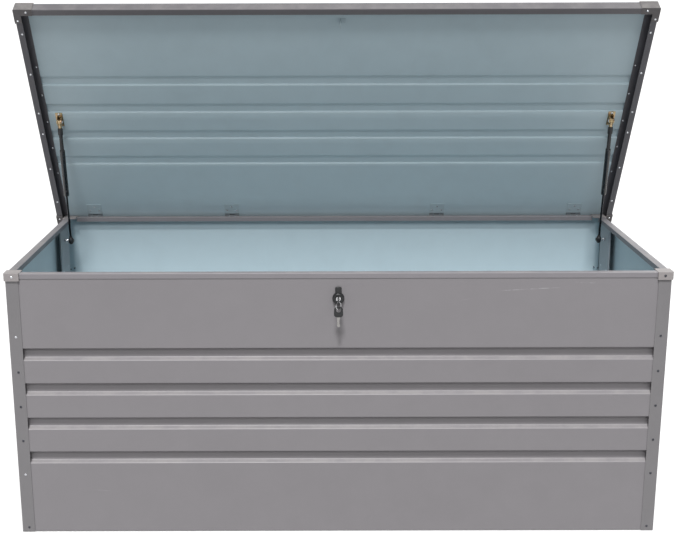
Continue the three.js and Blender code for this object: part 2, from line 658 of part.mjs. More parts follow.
function addStrut(side, name) {
  const [pivotY, pivotZ] = pivotWhenOpen();
  const length = Math.hypot(BALL_Y - pivotY, BALL_Z - pivotZ);
  const strut = new THREE.Group();
  strut.position.set(side * STRUT_PLACE, pivotY, pivotZ);
  strut.rotation.x = Math.atan2(BALL_Y - pivotY, pivotZ - BALL_Z);
  group.add(strut);

  // the strut hangs from its lid pivot along local -Z
  const casing = turned([
    [0, -FITTING_START], [FITTING_RADIUS, -FITTING_START], [FITTING_RADIUS, -FITTING_END],
    [SHANK_RADIUS, -FITTING_END], [SHANK_RADIUS, -TUBE_START], [TUBE_RADIUS, -TUBE_START],
    [TUBE_RADIUS, -TUBE_END], [ROD_BORE, -TUBE_END], [ROD_BORE, -TUBE_END + COLLAR_LENGTH],
    [BARREL_RADIUS, -TUBE_END + COLLAR_LENGTH], [BARREL_RADIUS, -TUBE_START - 2.5], [0, -TUBE_START - 2.5],
  ]);
  const eye = rod('x', EYE_RADIUS, -EYE_WIDTH / 2, EYE_WIDTH / 2);
  const neck = rod('z', 4, -FITTING_START - 2, -3);
  const bore = rod('x', EYE_BORE, -EYE_WIDTH, EYE_WIDTH);
  place(strut, `strut_tube_${name}`, cut(join(casing, eye, neck), bore), BLACK_STEEL);

  const rodEnd = -length + SOCKET_NECK + GAP;
  const pistonRod = turned([
    [0, -PISTON_START], [PISTON_RADIUS, -PISTON_START], [PISTON_RADIUS, -PISTON_START - PISTON_LENGTH],
    [ROD_RADIUS, -PISTON_START - PISTON_LENGTH], [ROD_RADIUS, rodEnd], [0, rodEnd],
  ]);
  place(strut, `strut_rod_${name}`, pistonRod, BLACK_STEEL);

  const drop = [[0, SOCKET_NECK], [4, SOCKET_NECK], [4.4, SOCKET_NECK - 3]];
  for (let i = 1; i <= 8; i += 1) {
    const angle = THREE.MathUtils.lerp(0.9, -Math.PI / 2, i / 8);
    const reach = angle > 0 ? SOCKET_NECK - 4 : SOCKET_TAIL;
    drop.push([i === 8 ? 0 : SOCKET_RADIUS * Math.cos(angle), reach * Math.sin(angle)]);
  }
  place(strut, `strut_socket_${name}`, turned(drop).translate(0, 0, -length), BLACK_PLASTIC);
}

// ---------------------------------------------------------------- lock and keys

function addLock() {
  const face = -HALF_D - LOCK_PROUD;
  const seat = -HALF_D + WALL_SETBACK - GAP;
  const half = LOCK_TAB_WIDTH / 2;
  const start = Math.PI / 2 - Math.asin(half / LOCK_RADIUS) - 0.35;
  const outline = new THREE.Shape();
  outline.moveTo(half, LOCK_TAB_TOP - 2);
  outline.lineTo(half - 2, LOCK_TAB_TOP);
  outline.lineTo(-half + 2, LOCK_TAB_TOP);
  outline.lineTo(-half, LOCK_TAB_TOP - 2);
  outline.lineTo(-half, LOCK_RADIUS);
  outline.absarc(0, 0, LOCK_RADIUS, Math.PI - start, start + 2 * Math.PI, false);
  outline.lineTo(half, LOCK_RADIUS);
  const plate = alongY(outline, face, seat).translate(0, 0, LOCK_HEIGHT);
  const body = rod('y', LOCK_BODY_RADIUS, seat - 1, -HALF_D + LOCK_BODY_END, [0, LOCK_HEIGHT]);
  const boss = rod('y', LOCK_RADIUS - 3, face - 2, face + 1, [0, LOCK_HEIGHT]);
  const bore = rod('y', PLUG_RADIUS + GAP, face - 9, -HALF_D + LOCK_BODY_END + 9, [0, LOCK_HEIGHT]);
  place(group, 'lock_housing', cut(join(plate, body, boss), bore), BLACK_PLASTIC);

  const nutStart = -HALF_D + WALL_SETBACK + SHEET + GAP;
  const nut = rod('y', NUT_RADIUS, nutStart, nutStart + NUT_THICK, [0, LOCK_HEIGHT], 6);
  const thread = rod('y', LOCK_BODY_RADIUS + GAP, nutStart - 9, nutStart + NUT_THICK + 9, [0, LOCK_HEIGHT]);
  place(group, 'lock_nut', cut(nut, thread), ZINC_STEEL);

  const plug = rod('y', PLUG_RADIUS, face - 3, -HALF_D + CAM_START - GAP, [0, LOCK_HEIGHT]);
  const keyway = block([-KEYWAY_WIDTH / 2, face - 9, LOCK_HEIGHT - KEYWAY_HEIGHT / 2],
    [KEYWAY_WIDTH / 2, face - 3 + KEY_BLADE_LENGTH + 1, LOCK_HEIGHT + KEYWAY_HEIGHT / 2]);
  place(group, 'lock_barrel', cut(plug, keyway), BRIGHT_STEEL);

  // at rest the cam lies along -X, clear of the striker, with its hook turned up
  const [camA, camB] = [-HALF_D + CAM_START, -HALF_D + CAM_START + CAM_THICK];
  const arm = block([-CAM_REACH - 7, camA, LOCK_HEIGHT - CAM_WIDTH / 2], [0, camB, LOCK_HEIGHT + CAM_WIDTH / 2]);
  const hook = block([-CAM_REACH - 7, camA, LOCK_HEIGHT], [-CAM_REACH, camB, LOCK_HEIGHT + CAM_HOOK]);
  const hub = rod('y', CAM_WIDTH / 2 + 1.5, camA, camB, [0, LOCK_HEIGHT]);
  const nutOnCam = rod('y', 5, camA, camB + 3, [0, LOCK_HEIGHT], 6);
  place(group, 'lock_cam', join(arm, hook, hub, nutOnCam), ZINC_STEEL);
}

// A flat key in the (X, Y) plane: the head reaches from y = 0 to -KEY_HEAD_LENGTH, the blade to +Y.
function keyShape() {
  const w = KEY_HEAD_WIDTH / 2;
  const head = new THREE.Shape();
  head.moveTo(4, 0);
  head.quadraticCurveTo(w, -1, w, -9);
  head.lineTo(w - 0.5, -KEY_HEAD_LENGTH + 7);
  head.quadraticCurveTo(w - 2, -KEY_HEAD_LENGTH, 2, -KEY_HEAD_LENGTH);
  head.lineTo(-2, -KEY_HEAD_LENGTH);
  head.quadraticCurveTo(-w + 2, -KEY_HEAD_LENGTH, -w + 0.5, -KEY_HEAD_LENGTH + 7);
  head.lineTo(-w, -9);
  head.quadraticCurveTo(-w, -1, -4, 0);
  const bow = alongZ(head, -KEY_HEAD_THICK / 2, KEY_HEAD_THICK / 2);
  const hole = rod('z', KEY_HOLE_RADIUS, -KEY_HEAD_THICK, KEY_HEAD_THICK, [0, -KEY_HEAD_LENGTH + KEY_HOLE_INSET]);
  const h = KEY_BLADE_HEIGHT / 2;
  const blade = shapeOf([
    [-h, -2], [h, -2], [h, 4], [h - 1.4, 6], [h, 8], [h - 1.8, 10.5], [h - 0.5, 13], [h - 1.6, 16], [h, 18.5],
    [h, KEY_BLADE_LENGTH - 3], [0, KEY_BLADE_LENGTH], [-h, KEY_BLADE_LENGTH - 3],
  ]);
  const steel = alongZ(blade, -KEY_BLADE_THICK / 2, KEY_BLADE_THICK / 2);
  return join(cut(bow, hole), steel);
}

function addKeys() {
  const mouth = -HALF_D - LOCK_PROUD - 3;
  const inserted = keyShape().rotateY(Math.PI / 2).translate(0, mouth - 1, LOCK_HEIGHT);
  place(group, 'key', inserted, BLACK_PLASTIC);

  const holeY = mouth - 1 - KEY_HEAD_LENGTH + KEY_HOLE_INSET;
  const ringZ = LOCK_HEIGHT - RING_SAG - RING_RADIUS;
  const ring = new THREE.TorusGeometry(RING_RADIUS, RING_WIRE, 8, 32).rotateX(Math.PI / 2);
  ring.rotateZ(Math.PI / 4).translate(0, holeY, ringZ);
  place(group, 'key_ring', ring, BRIGHT_STEEL);

  const holeZ = ringZ - RING_RADIUS - RING_SAG;
  const spare = keyShape().rotateX(-Math.PI / 2).translate(0, holeY, holeZ - KEY_HEAD_LENGTH + KEY_HOLE_INSET);
  place(group, 'spare_key', spare, BLACK_PLASTIC);
}

// ---------------------------------------------------------------- assembly

addWalls();
addFloor();
addPosts();
addTopRails();
addBottomRails();
addBoxCaps();
addStrutMounts();
addHinges();
addLidSheet();
addLidRails();
addLidCaps();
addStrutBrackets();
addStriker();
addStrut(-1, 'left');
addStrut(1, 'right');
addLock();
addKeys();

export default group;
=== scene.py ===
# Looks for a sheet-steel deck storage box: metres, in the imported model's own frame.
# +X is the long way, -Y is the lock side, +Z is up. The lid stands open.

import math

import bpy
from mathutils import Matrix, Vector, noise


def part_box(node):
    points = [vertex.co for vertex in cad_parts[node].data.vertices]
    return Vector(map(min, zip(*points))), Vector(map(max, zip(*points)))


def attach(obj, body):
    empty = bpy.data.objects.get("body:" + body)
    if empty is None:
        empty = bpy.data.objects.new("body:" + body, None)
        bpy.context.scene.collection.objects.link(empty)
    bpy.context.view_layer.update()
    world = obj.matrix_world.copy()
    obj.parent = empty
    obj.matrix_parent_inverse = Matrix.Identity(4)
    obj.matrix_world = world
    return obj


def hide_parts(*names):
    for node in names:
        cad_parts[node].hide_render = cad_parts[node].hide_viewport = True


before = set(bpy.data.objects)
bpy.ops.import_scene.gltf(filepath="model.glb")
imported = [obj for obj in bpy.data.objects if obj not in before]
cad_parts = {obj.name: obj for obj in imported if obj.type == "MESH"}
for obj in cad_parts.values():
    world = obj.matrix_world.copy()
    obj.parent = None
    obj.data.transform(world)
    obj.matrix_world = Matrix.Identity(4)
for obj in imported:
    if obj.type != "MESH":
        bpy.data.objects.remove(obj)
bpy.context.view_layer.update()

# ---------------------------------------------------------------- dimensions

MM = 0.001
POST_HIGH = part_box("post_rear_right")[1]
HALF_W = POST_HIGH.x
HALF_D = POST_HIGH.y
SHEET = 0.9 * MM
RIB_DEPTH = 12 * MM
RIB_MOUTH = 31.5 * MM
RIB_FLOOR = 20 * MM
LID_RIB_DEPTH = 5 * MM
LID_RIB_FLOOR = 28 * MM
RIB_PITCH = 92.8 * MM
BEND_SHARE = 0.22  # the curve at each bend of a rib, as a share of its slope
WALL_RIB_MIDDLE = 347.3 * MM
LID_RIB_MIDDLE = 354 * MM
WALL_MARGIN = 10 * MM
WALL_END_SLOPE = 8 * MM
WALL_RIPPLE = 0.35 * MM
LID_MARGIN = 12 * MM
LID_END_SLOPE = 10 * MM
LID_RIPPLE = 0.3 * MM
FLOOR_RIB_PITCH = 110 * MM
FLOOR_RIB_MOUTH = 40 * MM
FLOOR_RIB_FLOOR = 24 * MM
FLOOR_RIB_DEPTH = 5 * MM
FLOOR_MARGIN = 40 * MM
FLOOR_END_SLOPE = 10 * MM
LID_HALF_W = HALF_W + 22.5 * MM
LID_FRONT = -HALF_D - 22.5 * MM
LID_REAR = HALF_D + 22.5 * MM
LID_UNDERSIDE = 699.8 * MM
LID_RIM = 669.8 * MM
LID_OPEN = math.radians(60.8)
HINGE_Y = HALF_D + 5 * MM
HINGE_Z = 696 * MM
HINGE_PLACES = (-736 * MM, -315 * MM, 315 * MM, 736 * MM)
STRUT_PIVOT_REACH = 363 * MM
STRUT_PIVOT_DROP = 13 * MM
BALL = Vector((0, 236 * MM, 647 * MM))
STRUT_X = 788 * MM
LOCK_Z = 633 * MM
LOCK_FACE_RADIUS = 15 * MM
LOCK_TONGUE_HALF = 8 * MM
LOCK_TONGUE_TOP = 29 * MM
LOCK_WALL = 1.2 * MM  # from the post's face to the wall the lock sits in
LOCK_FACE_BACK = 4.5 * MM
LOCK_BEZEL_DEPTH = 4.4 * MM
KEY_HOLE_BACK = 18 * MM
KEY_HOLE_RADIUS = 5.9 * MM
KEY_HALF_THICK = 1.5 * MM
RING_SAG = 3 * MM  # ring's wire below the middle of the hole it hangs in
RING_RADIUS = 8.6 * MM
RING_TURNS = 1.96
RING_PITCH = 1.06 * MM
RING_WIRE_ACROSS = 0.75 * MM
RING_WIRE_ALONG = 0.27 * MM
RAIL_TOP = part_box("top_rail_front")[1].z

# ---------------------------------------------------------------- camera

CAMERA_PLACE = Vector((-0.050, -2.6884 - HALF_D, 1.3925))
CAMERA_PITCH = 0.2450
CAMERA_YAW = 0.001
CAMERA_ROLL = -0.0027
SENSOR_WIDTH = 36
LENS = 59.65
LENS_SHIFT = (0.0331, -0.0052)


def make_camera():
    data = bpy.data.cameras.new("camera")
    data.sensor_width = SENSOR_WIDTH
    data.lens = LENS
    data.shift_x, data.shift_y = LENS_SHIFT
    camera = bpy.data.objects.new("camera", data)
    bpy.context.scene.collection.objects.link(camera)
    turn = Matrix.Rotation(CAMERA_YAW, 4, "Z")
    turn = turn @ Matrix.Rotation(math.pi / 2 - CAMERA_PITCH, 4, "X")
    turn = turn @ Matrix.Rotation(CAMERA_ROLL, 4, "Z")
    camera.matrix_world = Matrix.Translation(CAMERA_PLACE) @ turn
    bpy.context.scene.camera = camera


make_camera()

# ---------------------------------------------------------------- materials


def linear(level):
    return level / 12.92 if level <= 0.04045 else ((level + 0.055) / 1.055) ** 2.4


def colour(red, green, blue):
    """A colour from its 0 to 255 screen levels."""
    return tuple(linear(v / 255) for v in (red, green, blue)) + (1.0,)


def scaled(rgba, factor):
    return tuple(min(v * factor, 1.0) for v in rgba[:3]) + (1.0,)


class Surface:
    """A node material, built up one layer at a time."""

    def __init__(self, name, rgba, roughness, metallic=0.0):
        self.material = bpy.data.materials.new(name)
        self.material.use_nodes = True
        self.tree = self.material.node_tree
        self.shader = self.tree.nodes["Principled BSDF"]
        self.shader.inputs["Base Color"].default_value = rgba
        self.shader.inputs["Metallic"].default_value = metallic
        self.shader.inputs["Roughness"].default_value = roughness
        self.rgba = rgba
        self.roughness = roughness
        self.where = self.node("ShaderNodeTexCoord").outputs["Object"]

    def node(self, kind, **settings):
        made = self.tree.nodes.new(kind)
        for key, value in settings.items():
            setattr(made, key, value)
        return made

    def link(self, output, target):
        self.tree.links.new(output, target)

    def noise(self, scale, detail=3.0, roughness=0.5, distortion=0.0, stretch=None):
        texture = self.node("ShaderNodeTexNoise")
        texture.inputs["Scale"].default_value = scale
        texture.inputs["Detail"].default_value = detail
        texture.inputs["Roughness"].default_value = roughness
        texture.inputs["Distortion"].default_value = distortion
        if stretch is None:
            self.link(self.where, texture.inputs["Vector"])
        else:
            mapping = self.node("ShaderNodeMapping")
            mapping.inputs["Scale"].default_value = stretch
            self.link(self.where, mapping.inputs["Vector"])
            self.link(mapping.outputs["Vector"], texture.inputs["Vector"])
        return texture.outputs["Fac"]

    def spread(self, value, low, high, start=0.3, end=0.7):
        """Maps a noise value onto a range."""
        ranged = self.node("ShaderNodeMapRange")
        ranged.inputs["From Min"].default_value = start
        ranged.inputs["From Max"].default_value = end
        ranged.inputs["To Min"].default_value = low
        ranged.inputs["To Max"].default_value = high
        self.link(value, ranged.inputs["Value"])
        return ranged.outputs["Result"]

    def math(self, operation, first, second=None, clamp=False):
        made = self.node("ShaderNodeMath", operation=operation, use_clamp=clamp)
        for socket, value in zip(made.inputs, (first, second)):
            if value is None:
                continue
            if isinstance(value, (int, float)):
                socket.default_value = value
            else:
                self.link(value, socket)
        return made.outputs["Value"]

    def present(self, socket_name):
        socket = self.shader.inputs[socket_name]
        return socket.links[0].from_socket if socket.links else None

    def blend_colour(self, factor, rgba):
        """Lays a colour over what is there, by a mask."""
        mix = self.node("ShaderNodeMix", data_type="RGBA")
        self.link(factor, mix.inputs["Factor"])
        before = self.present("Base Color")
        if before is None:
            mix.inputs["A"].default_value = self.rgba
        else:
            self.link(before, mix.inputs["A"])
        mix.inputs["B"].default_value = rgba
        self.link(mix.outputs["Result"], self.shader.inputs["Base Color"])

    def add_roughness(self, value):
        before = self.present("Roughness")
        start = self.roughness if before is None else before
        self.link(self.math("ADD", value, start, clamp=True), self.shader.inputs["Roughness"])

    def mottle(self, amount, scale=3.0, distortion=0.4):
        """Soft lighter and darker clouds."""
        patch = self.spread(self.noise(scale, 4, 0.55, distortion), 0, 1)
        self.blend_colour(patch, scaled(self.rgba, 1 - amount))
        cloud = self.spread(self.noise(scale * 9.7, 3, 0.6), 0, 0.5)
        self.blend_colour(cloud, scaled(self.rgba, 1 + amount))
        return self

    def smudge(self, amount, scale=6.0, stretch=None):
        """Handled and wiped patches that shine a little more or less."""
        self.add_roughness(self.spread(self.noise(scale, 5, 0.6, 1.2, stretch), -amount, amount))
        return self

    def grain(self, scale, depth, strength=0.5, stretch=None, detail=2.0):
        """Fine relief, such as the orange peel of powder coat."""
        bump = self.node("ShaderNodeBump")
        bump.inputs["Strength"].default_value = strength
        bump.inputs["Distance"].default_value = depth
        self.link(self.noise(scale, detail, 0.5, 0, stretch), bump.inputs["Height"])
        before = self.present("Normal")
        if before is not None:
            self.link(before, bump.inputs["Normal"])
        self.link(bump.outputs["Normal"], self.shader.inputs["Normal"])
        return self

    def worn_edges(self, rgba, width, amount):
        """Paint rubbed thin along edges, in broken stretches."""
        rounded = self.node("ShaderNodeBevel", samples=4)
        rounded.inputs["Radius"].default_value = width
        true = self.node("ShaderNodeNewGeometry").outputs["Normal"]
        meet = self.node("ShaderNodeVectorMath", operation="DOT_PRODUCT")
        self.link(rounded.outputs["Normal"], meet.inputs[0])
        self.link(true, meet.inputs[1])
        edge = self.spread(meet.outputs["Value"], amount, 0, 0.75, 0.99)
        broken = self.spread(self.noise(55, 4, 0.65), 0.15, 1, 0.4, 0.62)
        self.blend_colour(self.math("MULTIPLY", edge, broken), rgba)
        return self

    def dust(self, rgba, amount, scale=18.0):
        """Pale dust and dried drops on faces that look up."""
        split = self.node("ShaderNodeSeparateXYZ")
        self.link(self.node("ShaderNodeNewGeometry").outputs["Normal"], split.inputs[0])
        facing = self.spread(split.outputs["Z"], 0, amount, 0.3, 1.0)
        patches = self.spread(self.noise(scale, 6, 0.7), 0.2, 1, 0.42, 0.6)
        mask = self.math("MULTIPLY", facing, patches)
        self.blend_colour(mask, rgba)
        self.add_roughness(self.math("MULTIPLY", mask, 0.35))
        return self

    def scratch(self, start, end, width, rgba, amount):
        """A faint straight scuff between two (x, z) points, broken along its length."""
        (x0, z0), (x1, z1) = start, end
        split = self.node("ShaderNodeSeparateXYZ")
        self.link(self.where, split.inputs[0])
        slope = (z1 - z0) / (x1 - x0)
        along = self.math("SUBTRACT", split.outputs["X"], x0)
        line = self.math("ADD", self.math("MULTIPLY", along, slope), z0)
        off = self.math("ABSOLUTE", self.math("SUBTRACT", split.outputs["Z"], line))
        near = self.spread(off, amount, 0, 0, width)
        inside = self.spread(split.outputs["X"], 0, 1, x0, x0 + 0.02)
        before_end = self.spread(split.outputs["X"], 1, 0, x1 - 0.03, x1)
        broken = self.spread(self.noise(70, 5, 0.7), 0.1, 1, 0.42, 0.6)
        mask = self.math("MULTIPLY", self.math("MULTIPLY", near, inside), before_end)
        self.blend_colour(self.math("MULTIPLY", mask, broken), rgba)
        return self

    def spangle(self, scale, amount):
        """The crystal flakes of hot-dip zinc."""
        flakes = self.node("ShaderNodeTexVoronoi")
        flakes.inputs["Scale"].default_value = scale
        self.link(self.where, flakes.inputs["Vector"])
        tone = self.node("ShaderNodeSeparateColor")
        self.link(flakes.outputs["Color"], tone.inputs[0])
        self.blend_colour(self.spread(tone.outputs[0], 0, amount, 0, 1), scaled(self.rgba, 0.7))
        self.add_roughness(self.spread(tone.outputs[1], -0.08, 0.08, 0, 1))
        return self


GREY = colour(129, 126, 129)
INNER_GREY = colour(190, 209, 217)
PALE_WEAR = colour(196, 196, 198)
DUST = colour(188, 184, 178)


def grey_paint(name, rgba, wear=0.35):
    made = Surface(name, rgba, 0.42)
    made.shader.inputs["Specular IOR Level"].default_value = 0.5
    made.mottle(0.05, 2.2).smudge(0.07, 5.0).grain(620, 0.00012, 0.35)
    made.worn_edges(PALE_WEAR, 0.9 * MM, wear).dust(DUST, 0.16)
    return made


def front_paint():
    made = Surface("front_paint", GREY, 0.42)
    made.mottle(0.05, 1.6).smudge(0.08, 3.0, (1, 1, 0.35)).grain(620, 0.00012, 0.35)
    made.grain(1.7, 0.004, 0.12)
    made.scratch((0.398, 0.6505), (0.552, 0.6585), 1.6 * MM, PALE_WEAR, 0.45)
    made.scratch((0.585, 0.6725), (0.645, 0.6690), 2.4 * MM, PALE_WEAR, 0.28)
    made.scratch((0.300, 0.6250), (0.338, 0.6325), 0.9 * MM, PALE_WEAR, 0.22)
    made.scratch((-0.640, 0.118), (-0.560, 0.112), 1.0 * MM, PALE_WEAR, 0.20)
    return made.dust(DUST, 0.18).material


def inner_paint():
    made = Surface("inner_paint", INNER_GREY, 0.38)
    made.mottle(0.05, 1.8).smudge(0.07, 4.0).grain(520, 0.0001, 0.3).grain(1.5, 0.004, 0.12)
    return made.dust(DUST, 0.12).material


def shaded_leaf_paint():
    """Plated leaf, dull, with painted shade darkening it round the pin."""
    made = Surface("hinge_leaf_shaded_paint", colour(182, 199, 206), 0.6)
    made.mottle(0.05, 30).smudge(0.08, 40).grain(700, 0.00006, 0.3)
    split = made.node("ShaderNodeSeparateXYZ")
    made.link(made.where, split.inputs[0])
    off_y = made.math("POWER", made.math("SUBTRACT", split.outputs["Y"], HINGE_Y), 2)
    off_z = made.math("POWER", made.math("SUBTRACT", split.outputs["Z"], HINGE_Z), 2)
    from_pin = made.math("SQRT", made.math("ADD", off_y, off_z))
    # Painted shade: dark grey near the pin, where the knuckle would catch the light.
    made.blend_colour(made.spread(from_pin, 0.92, 0, 5.5 * MM, 9 * MM), colour(84, 88, 92))
    return made.material


def lid_paint():
    made = Surface("lid_outer_paint", GREY, 0.42)
    made.mottle(0.04, 1.6).smudge(0.09, 4.0).grain(620, 0.00012, 0.35).grain(1.6, 0.004, 0.12)
    return made.dust(DUST, 0.10, 9).material


def floor_zinc():
    made = Surface("floor_zinc", colour(170, 180, 184), 0.42, 0.55)
    made.spangle(70, 0.5).mottle(0.08, 3.0).smudge(0.10, 8.0).grain(300, 0.0001, 0.3)
    return made.dust(colour(150, 142, 130), 0.35, 9).material


def zinc():
    made = Surface("bright_zinc", colour(206, 214, 218), 0.34, 0.85)
    made.mottle(0.08, 40).smudge(0.10, 60).grain(900, 0.00006, 0.3, (1, 8, 1))
    return made.worn_edges(colour(232, 234, 236), 0.5 * MM, 0.4).material


def yellow_zinc():
    made = Surface("yellow_zinc", colour(172, 154, 116), 0.33, 0.9)
    made.blend_colour(made.spread(made.noise(95, 3, 0.6), 0, 0.55), colour(206, 142, 128))
    made.blend_colour(made.spread(made.noise(70, 3, 0.6, 1.0), 0, 0.45), colour(150, 168, 128))
    return made.smudge(0.08, 70).grain(1100, 0.00005, 0.3).material


def nickel():
    made = Surface("nickel", colour(212, 212, 214), 0.2, 1.0)
    return made.mottle(0.05, 90).smudge(0.08, 90).grain(1500, 0.00003, 0.25).material


def chrome_rod():
    made = Surface("rod_black_chrome", colour(40, 42, 46), 0.18, 0.9)
    return made.smudge(0.08, 60, (1, 1, 0.1)).grain(1800, 0.00002, 0.2, (8, 8, 1)).material


def tube_paint():
    made = Surface("tube_black_paint", colour(19, 22, 26), 0.26)
    made.shader.inputs["Coat Weight"].default_value = 0.3
    made.mottle(0.15, 30).smudge(0.10, 25).grain(700, 0.00005, 0.3)
    return made.worn_edges(colour(90, 92, 94), 0.4 * MM, 0.4).material


def black_plastic():
    made = Surface("black_plastic", colour(24, 25, 27), 0.44)
    made.mottle(0.15, 60).smudge(0.10, 40).grain(1300, 0.00008, 0.5)
    return made.worn_edges(colour(70, 71, 73), 0.5 * MM, 0.45).material


def cap_plastic(name, rgba):
    made = Surface(name, rgba, 0.55)
    made.mottle(0.05, 14).smudge(0.08, 20).grain(900, 0.0001, 0.55)
    made.worn_edges(colour(190, 186, 184), 0.8 * MM, 0.35)
    return made.dust(DUST, 0.2, 30).material


def dark_screw():
    made = Surface("screw_dark", colour(70, 72, 78), 0.36, 0.7)
    return made.mottle(0.15, 200).smudge(0.12, 120).grain(1800, 0.00004, 0.3).material


def bright_screw():
    made = Surface("screw_bright", colour(214, 216, 220), 0.26, 0.85)
    return made.mottle(0.10, 200).smudge(0.12, 120).grain(1800, 0.00004, 0.3).material


def bare_key_steel():
    made = Surface("key_blade", colour(150, 148, 146), 0.24, 1.0)
    return made.mottle(0.08, 150).smudge(0.10, 150).grain(1500, 0.00005, 0.3, (1, 1, 6)).material


def floor_card():
    made = Surface("studio_floor", colour(230, 230, 230), 0.9)
    made.mottle(0.01, 1.5).grain(160, 0.0002, 0.1)
    return made.material


FRAME_PAINT = grey_paint("frame_paint", colour(130, 127, 131)).material
# Painted shade: the box's side top rails take a darker copy of the frame paint, so their tops look less lit.
SIDE_RAIL_SHADED_PAINT = grey_paint("side_rail_shaded_paint", colour(116, 114, 118)).material
# Painted shade: the lid's side rails take a still darker copy of the rail paint, as if the light falls from
# the middle.
LID_SIDE_SHADED_PAINT = grey_paint("lid_side_shaded_paint", colour(86, 85, 90)).material
# Painted shade: the lid's front rail takes a darker copy of the frame paint, for its down-facing lip in
# shade.
LID_RAIL_SHADED_PAINT = grey_paint("lid_rail_shaded_paint", colour(96, 94, 98)).material
# Painted shade: the corner posts take a darker copy of the frame paint, for the light falling off towards
# the box's ends.
POST_SHADED_PAINT = grey_paint("post_shaded_paint", colour(119, 117, 119), 0.3).material
PLATE_PAINT = grey_paint("plate_paint", colour(138, 146, 152), 0.3).material
FRONT_PAINT = front_paint()
INNER_PAINT = inner_paint()
LID_PAINT = lid_paint()
SHADED_LEAF_PAINT = shaded_leaf_paint()
FLOOR_ZINC = floor_zinc()
ZINC = zinc()
YELLOW_ZINC = yellow_zinc()
NICKEL = nickel()
ROD_CHROME = chrome_rod()
TUBE_PAINT = tube_paint()
BLACK_PLASTIC = black_plastic()
CAP_PLASTIC = cap_plastic("cap_plastic", colour(148, 143, 143))
LID_CAP_PLASTIC = cap_plastic("lid_cap_plastic", colour(95, 92, 93))
DARK_SCREW = dark_screw()
BRIGHT_SCREW = bright_screw()
KEY_STEEL = bare_key_steel()

# ---------------------------------------------------------------- placing and mesh helpers

LID_TURN = Matrix.Translation((0, HINGE_Y, HINGE_Z)) @ Matrix.Rotation(-LID_OPEN, 4, "X")
LID_TURN = LID_TURN @ Matrix.Translation((0, -HINGE_Y, -HINGE_Z))


def piece(name, points, faces, material, body, turn=None, angle=35.0):
    """A mesh piece from points and faces, riding on a body."""
    mesh = bpy.data.meshes.new(name)
    mesh.from_pydata([tuple(p) for p in points], [], faces)
    if turn is not None:
        mesh.transform(turn)
    mesh.validate()
    for each in material if isinstance(material, (list, tuple)) else [material]:
        mesh.materials.append(each)
    mesh.shade_smooth()
    mesh.set_sharp_from_angle(angle=math.radians(angle))
    made = bpy.data.objects.new(name, mesh)
    bpy.context.scene.collection.objects.link(made)
    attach(made, body)
    return made


def bevelled(made, width, segments=3, angle=30.0):
    rounding = made.modifiers.new("rounding", "BEVEL")
    rounding.width = width
    rounding.segments = segments
    rounding.limit_method = "ANGLE"
    rounding.angle_limit = math.radians(angle)
    rounding.harden_normals = True
    return made


def joined(parts):
    """Several (points, faces) lists as one."""
    points = []
    faces = []
    for more_points, more_faces in parts:
        start = len(points)
        points += more_points
        faces += [tuple(i + start for i in face) for face in more_faces]
    return points, faces


def lathe(profile, segments=48, turn=None):
    """A closed body of revolution about Z from (radius, z) pairs. Zero radii become single points."""
    points = []
    rings = []
    for radius, z in profile:
        if radius < 1e-7:
            rings.append([len(points)])
            points.append(Vector((0, 0, z)))
            continue
        ring = []
        for k in range(segments):
            a = 2 * math.pi * k / segments
            ring.append(len(points))
            points.append(Vector((radius * math.cos(a), radius * math.sin(a), z)))
        rings.append(ring)
    faces = []
    for low, high in zip(rings, rings[1:]):
        for k in range(segments):
            n = (k + 1) % segments
            if len(low) == 1 and len(high) == 1:
                continue
            if len(low) == 1:
                faces.append((low[0], high[n], high[k]))
            elif len(high) == 1:
                faces.append((low[k], low[n], high[0]))
            else:
                faces.append((low[k], low[n], high[n], high[k]))
    if turn is not None:
        points = [turn @ p for p in points]
    return points, faces


def slab(outline, low, high, turn=None):
    """An (x, y) outline drawn out along Z."""
    count = len(outline)
    points = [Vector((x, y, low)) for x, y in outline] + [Vector((x, y, high)) for x, y in outline]
    faces = [tuple(range(count - 1, -1, -1)), tuple(range(count, 2 * count))]
    faces += [(k, (k + 1) % count, count + (k + 1) % count, count + k) for k in range(count)]
    if turn is not None:
        points = [turn @ p for p in points]
    return points, faces


def ring_slab(outline, hole, low, high, turn=None):
    """A plate with one hole: both loops have the same number of points, in step."""
    count = len(outline)
    points = [Vector((x, y, z)) for z in (low, high) for x, y in outline]
    points += [Vector((x, y, z)) for z in (low, high) for x, y in hole]
    faces = []
    for k in range(count):
        n = (k + 1) % count
        faces.append((k, n, count + n, count + k))
        faces.append((2 * count + n, 2 * count + k, 3 * count + k, 3 * count + n))
        faces.append((count + k, count + n, 3 * count + n, 3 * count + k))
        faces.append((n, k, 2 * count + k, 2 * count + n))
    if turn is not None:
        points = [turn @ p for p in points]
    return points, faces


def facing(place, direction):
    """The matrix that stands local Z along a direction at a place."""
    turn = Vector(direction).to_track_quat("Z", "Y").to_matrix().to_4x4()
    return Matrix.Translation(place) @ turn


def dress(material, body_nodes, width=None, segments=2):
    """Gives CAD nodes a material and, with a width, rounded edges."""
    for name in body_nodes:
        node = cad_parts[name]
        node.data.materials.clear()
        node.data.materials.append(material)
        if width is not None:
            bevelled(node, width, segments)


# ---------------------------------------------------------------- pressed sheets


def soft_ramp(t):
    """0 below 0, 1 above 1, with a small curve at both bends."""
    bend = BEND_SHARE
    if t <= -bend:
        return 0.0
    if t >= 1 + bend:
        return 1.0
    if t < bend:
        return (t + bend) ** 2 / (4 * bend)
    if t > 1 - bend:
        return 1 - (1 + bend - t) ** 2 / (4 * bend)
    return t


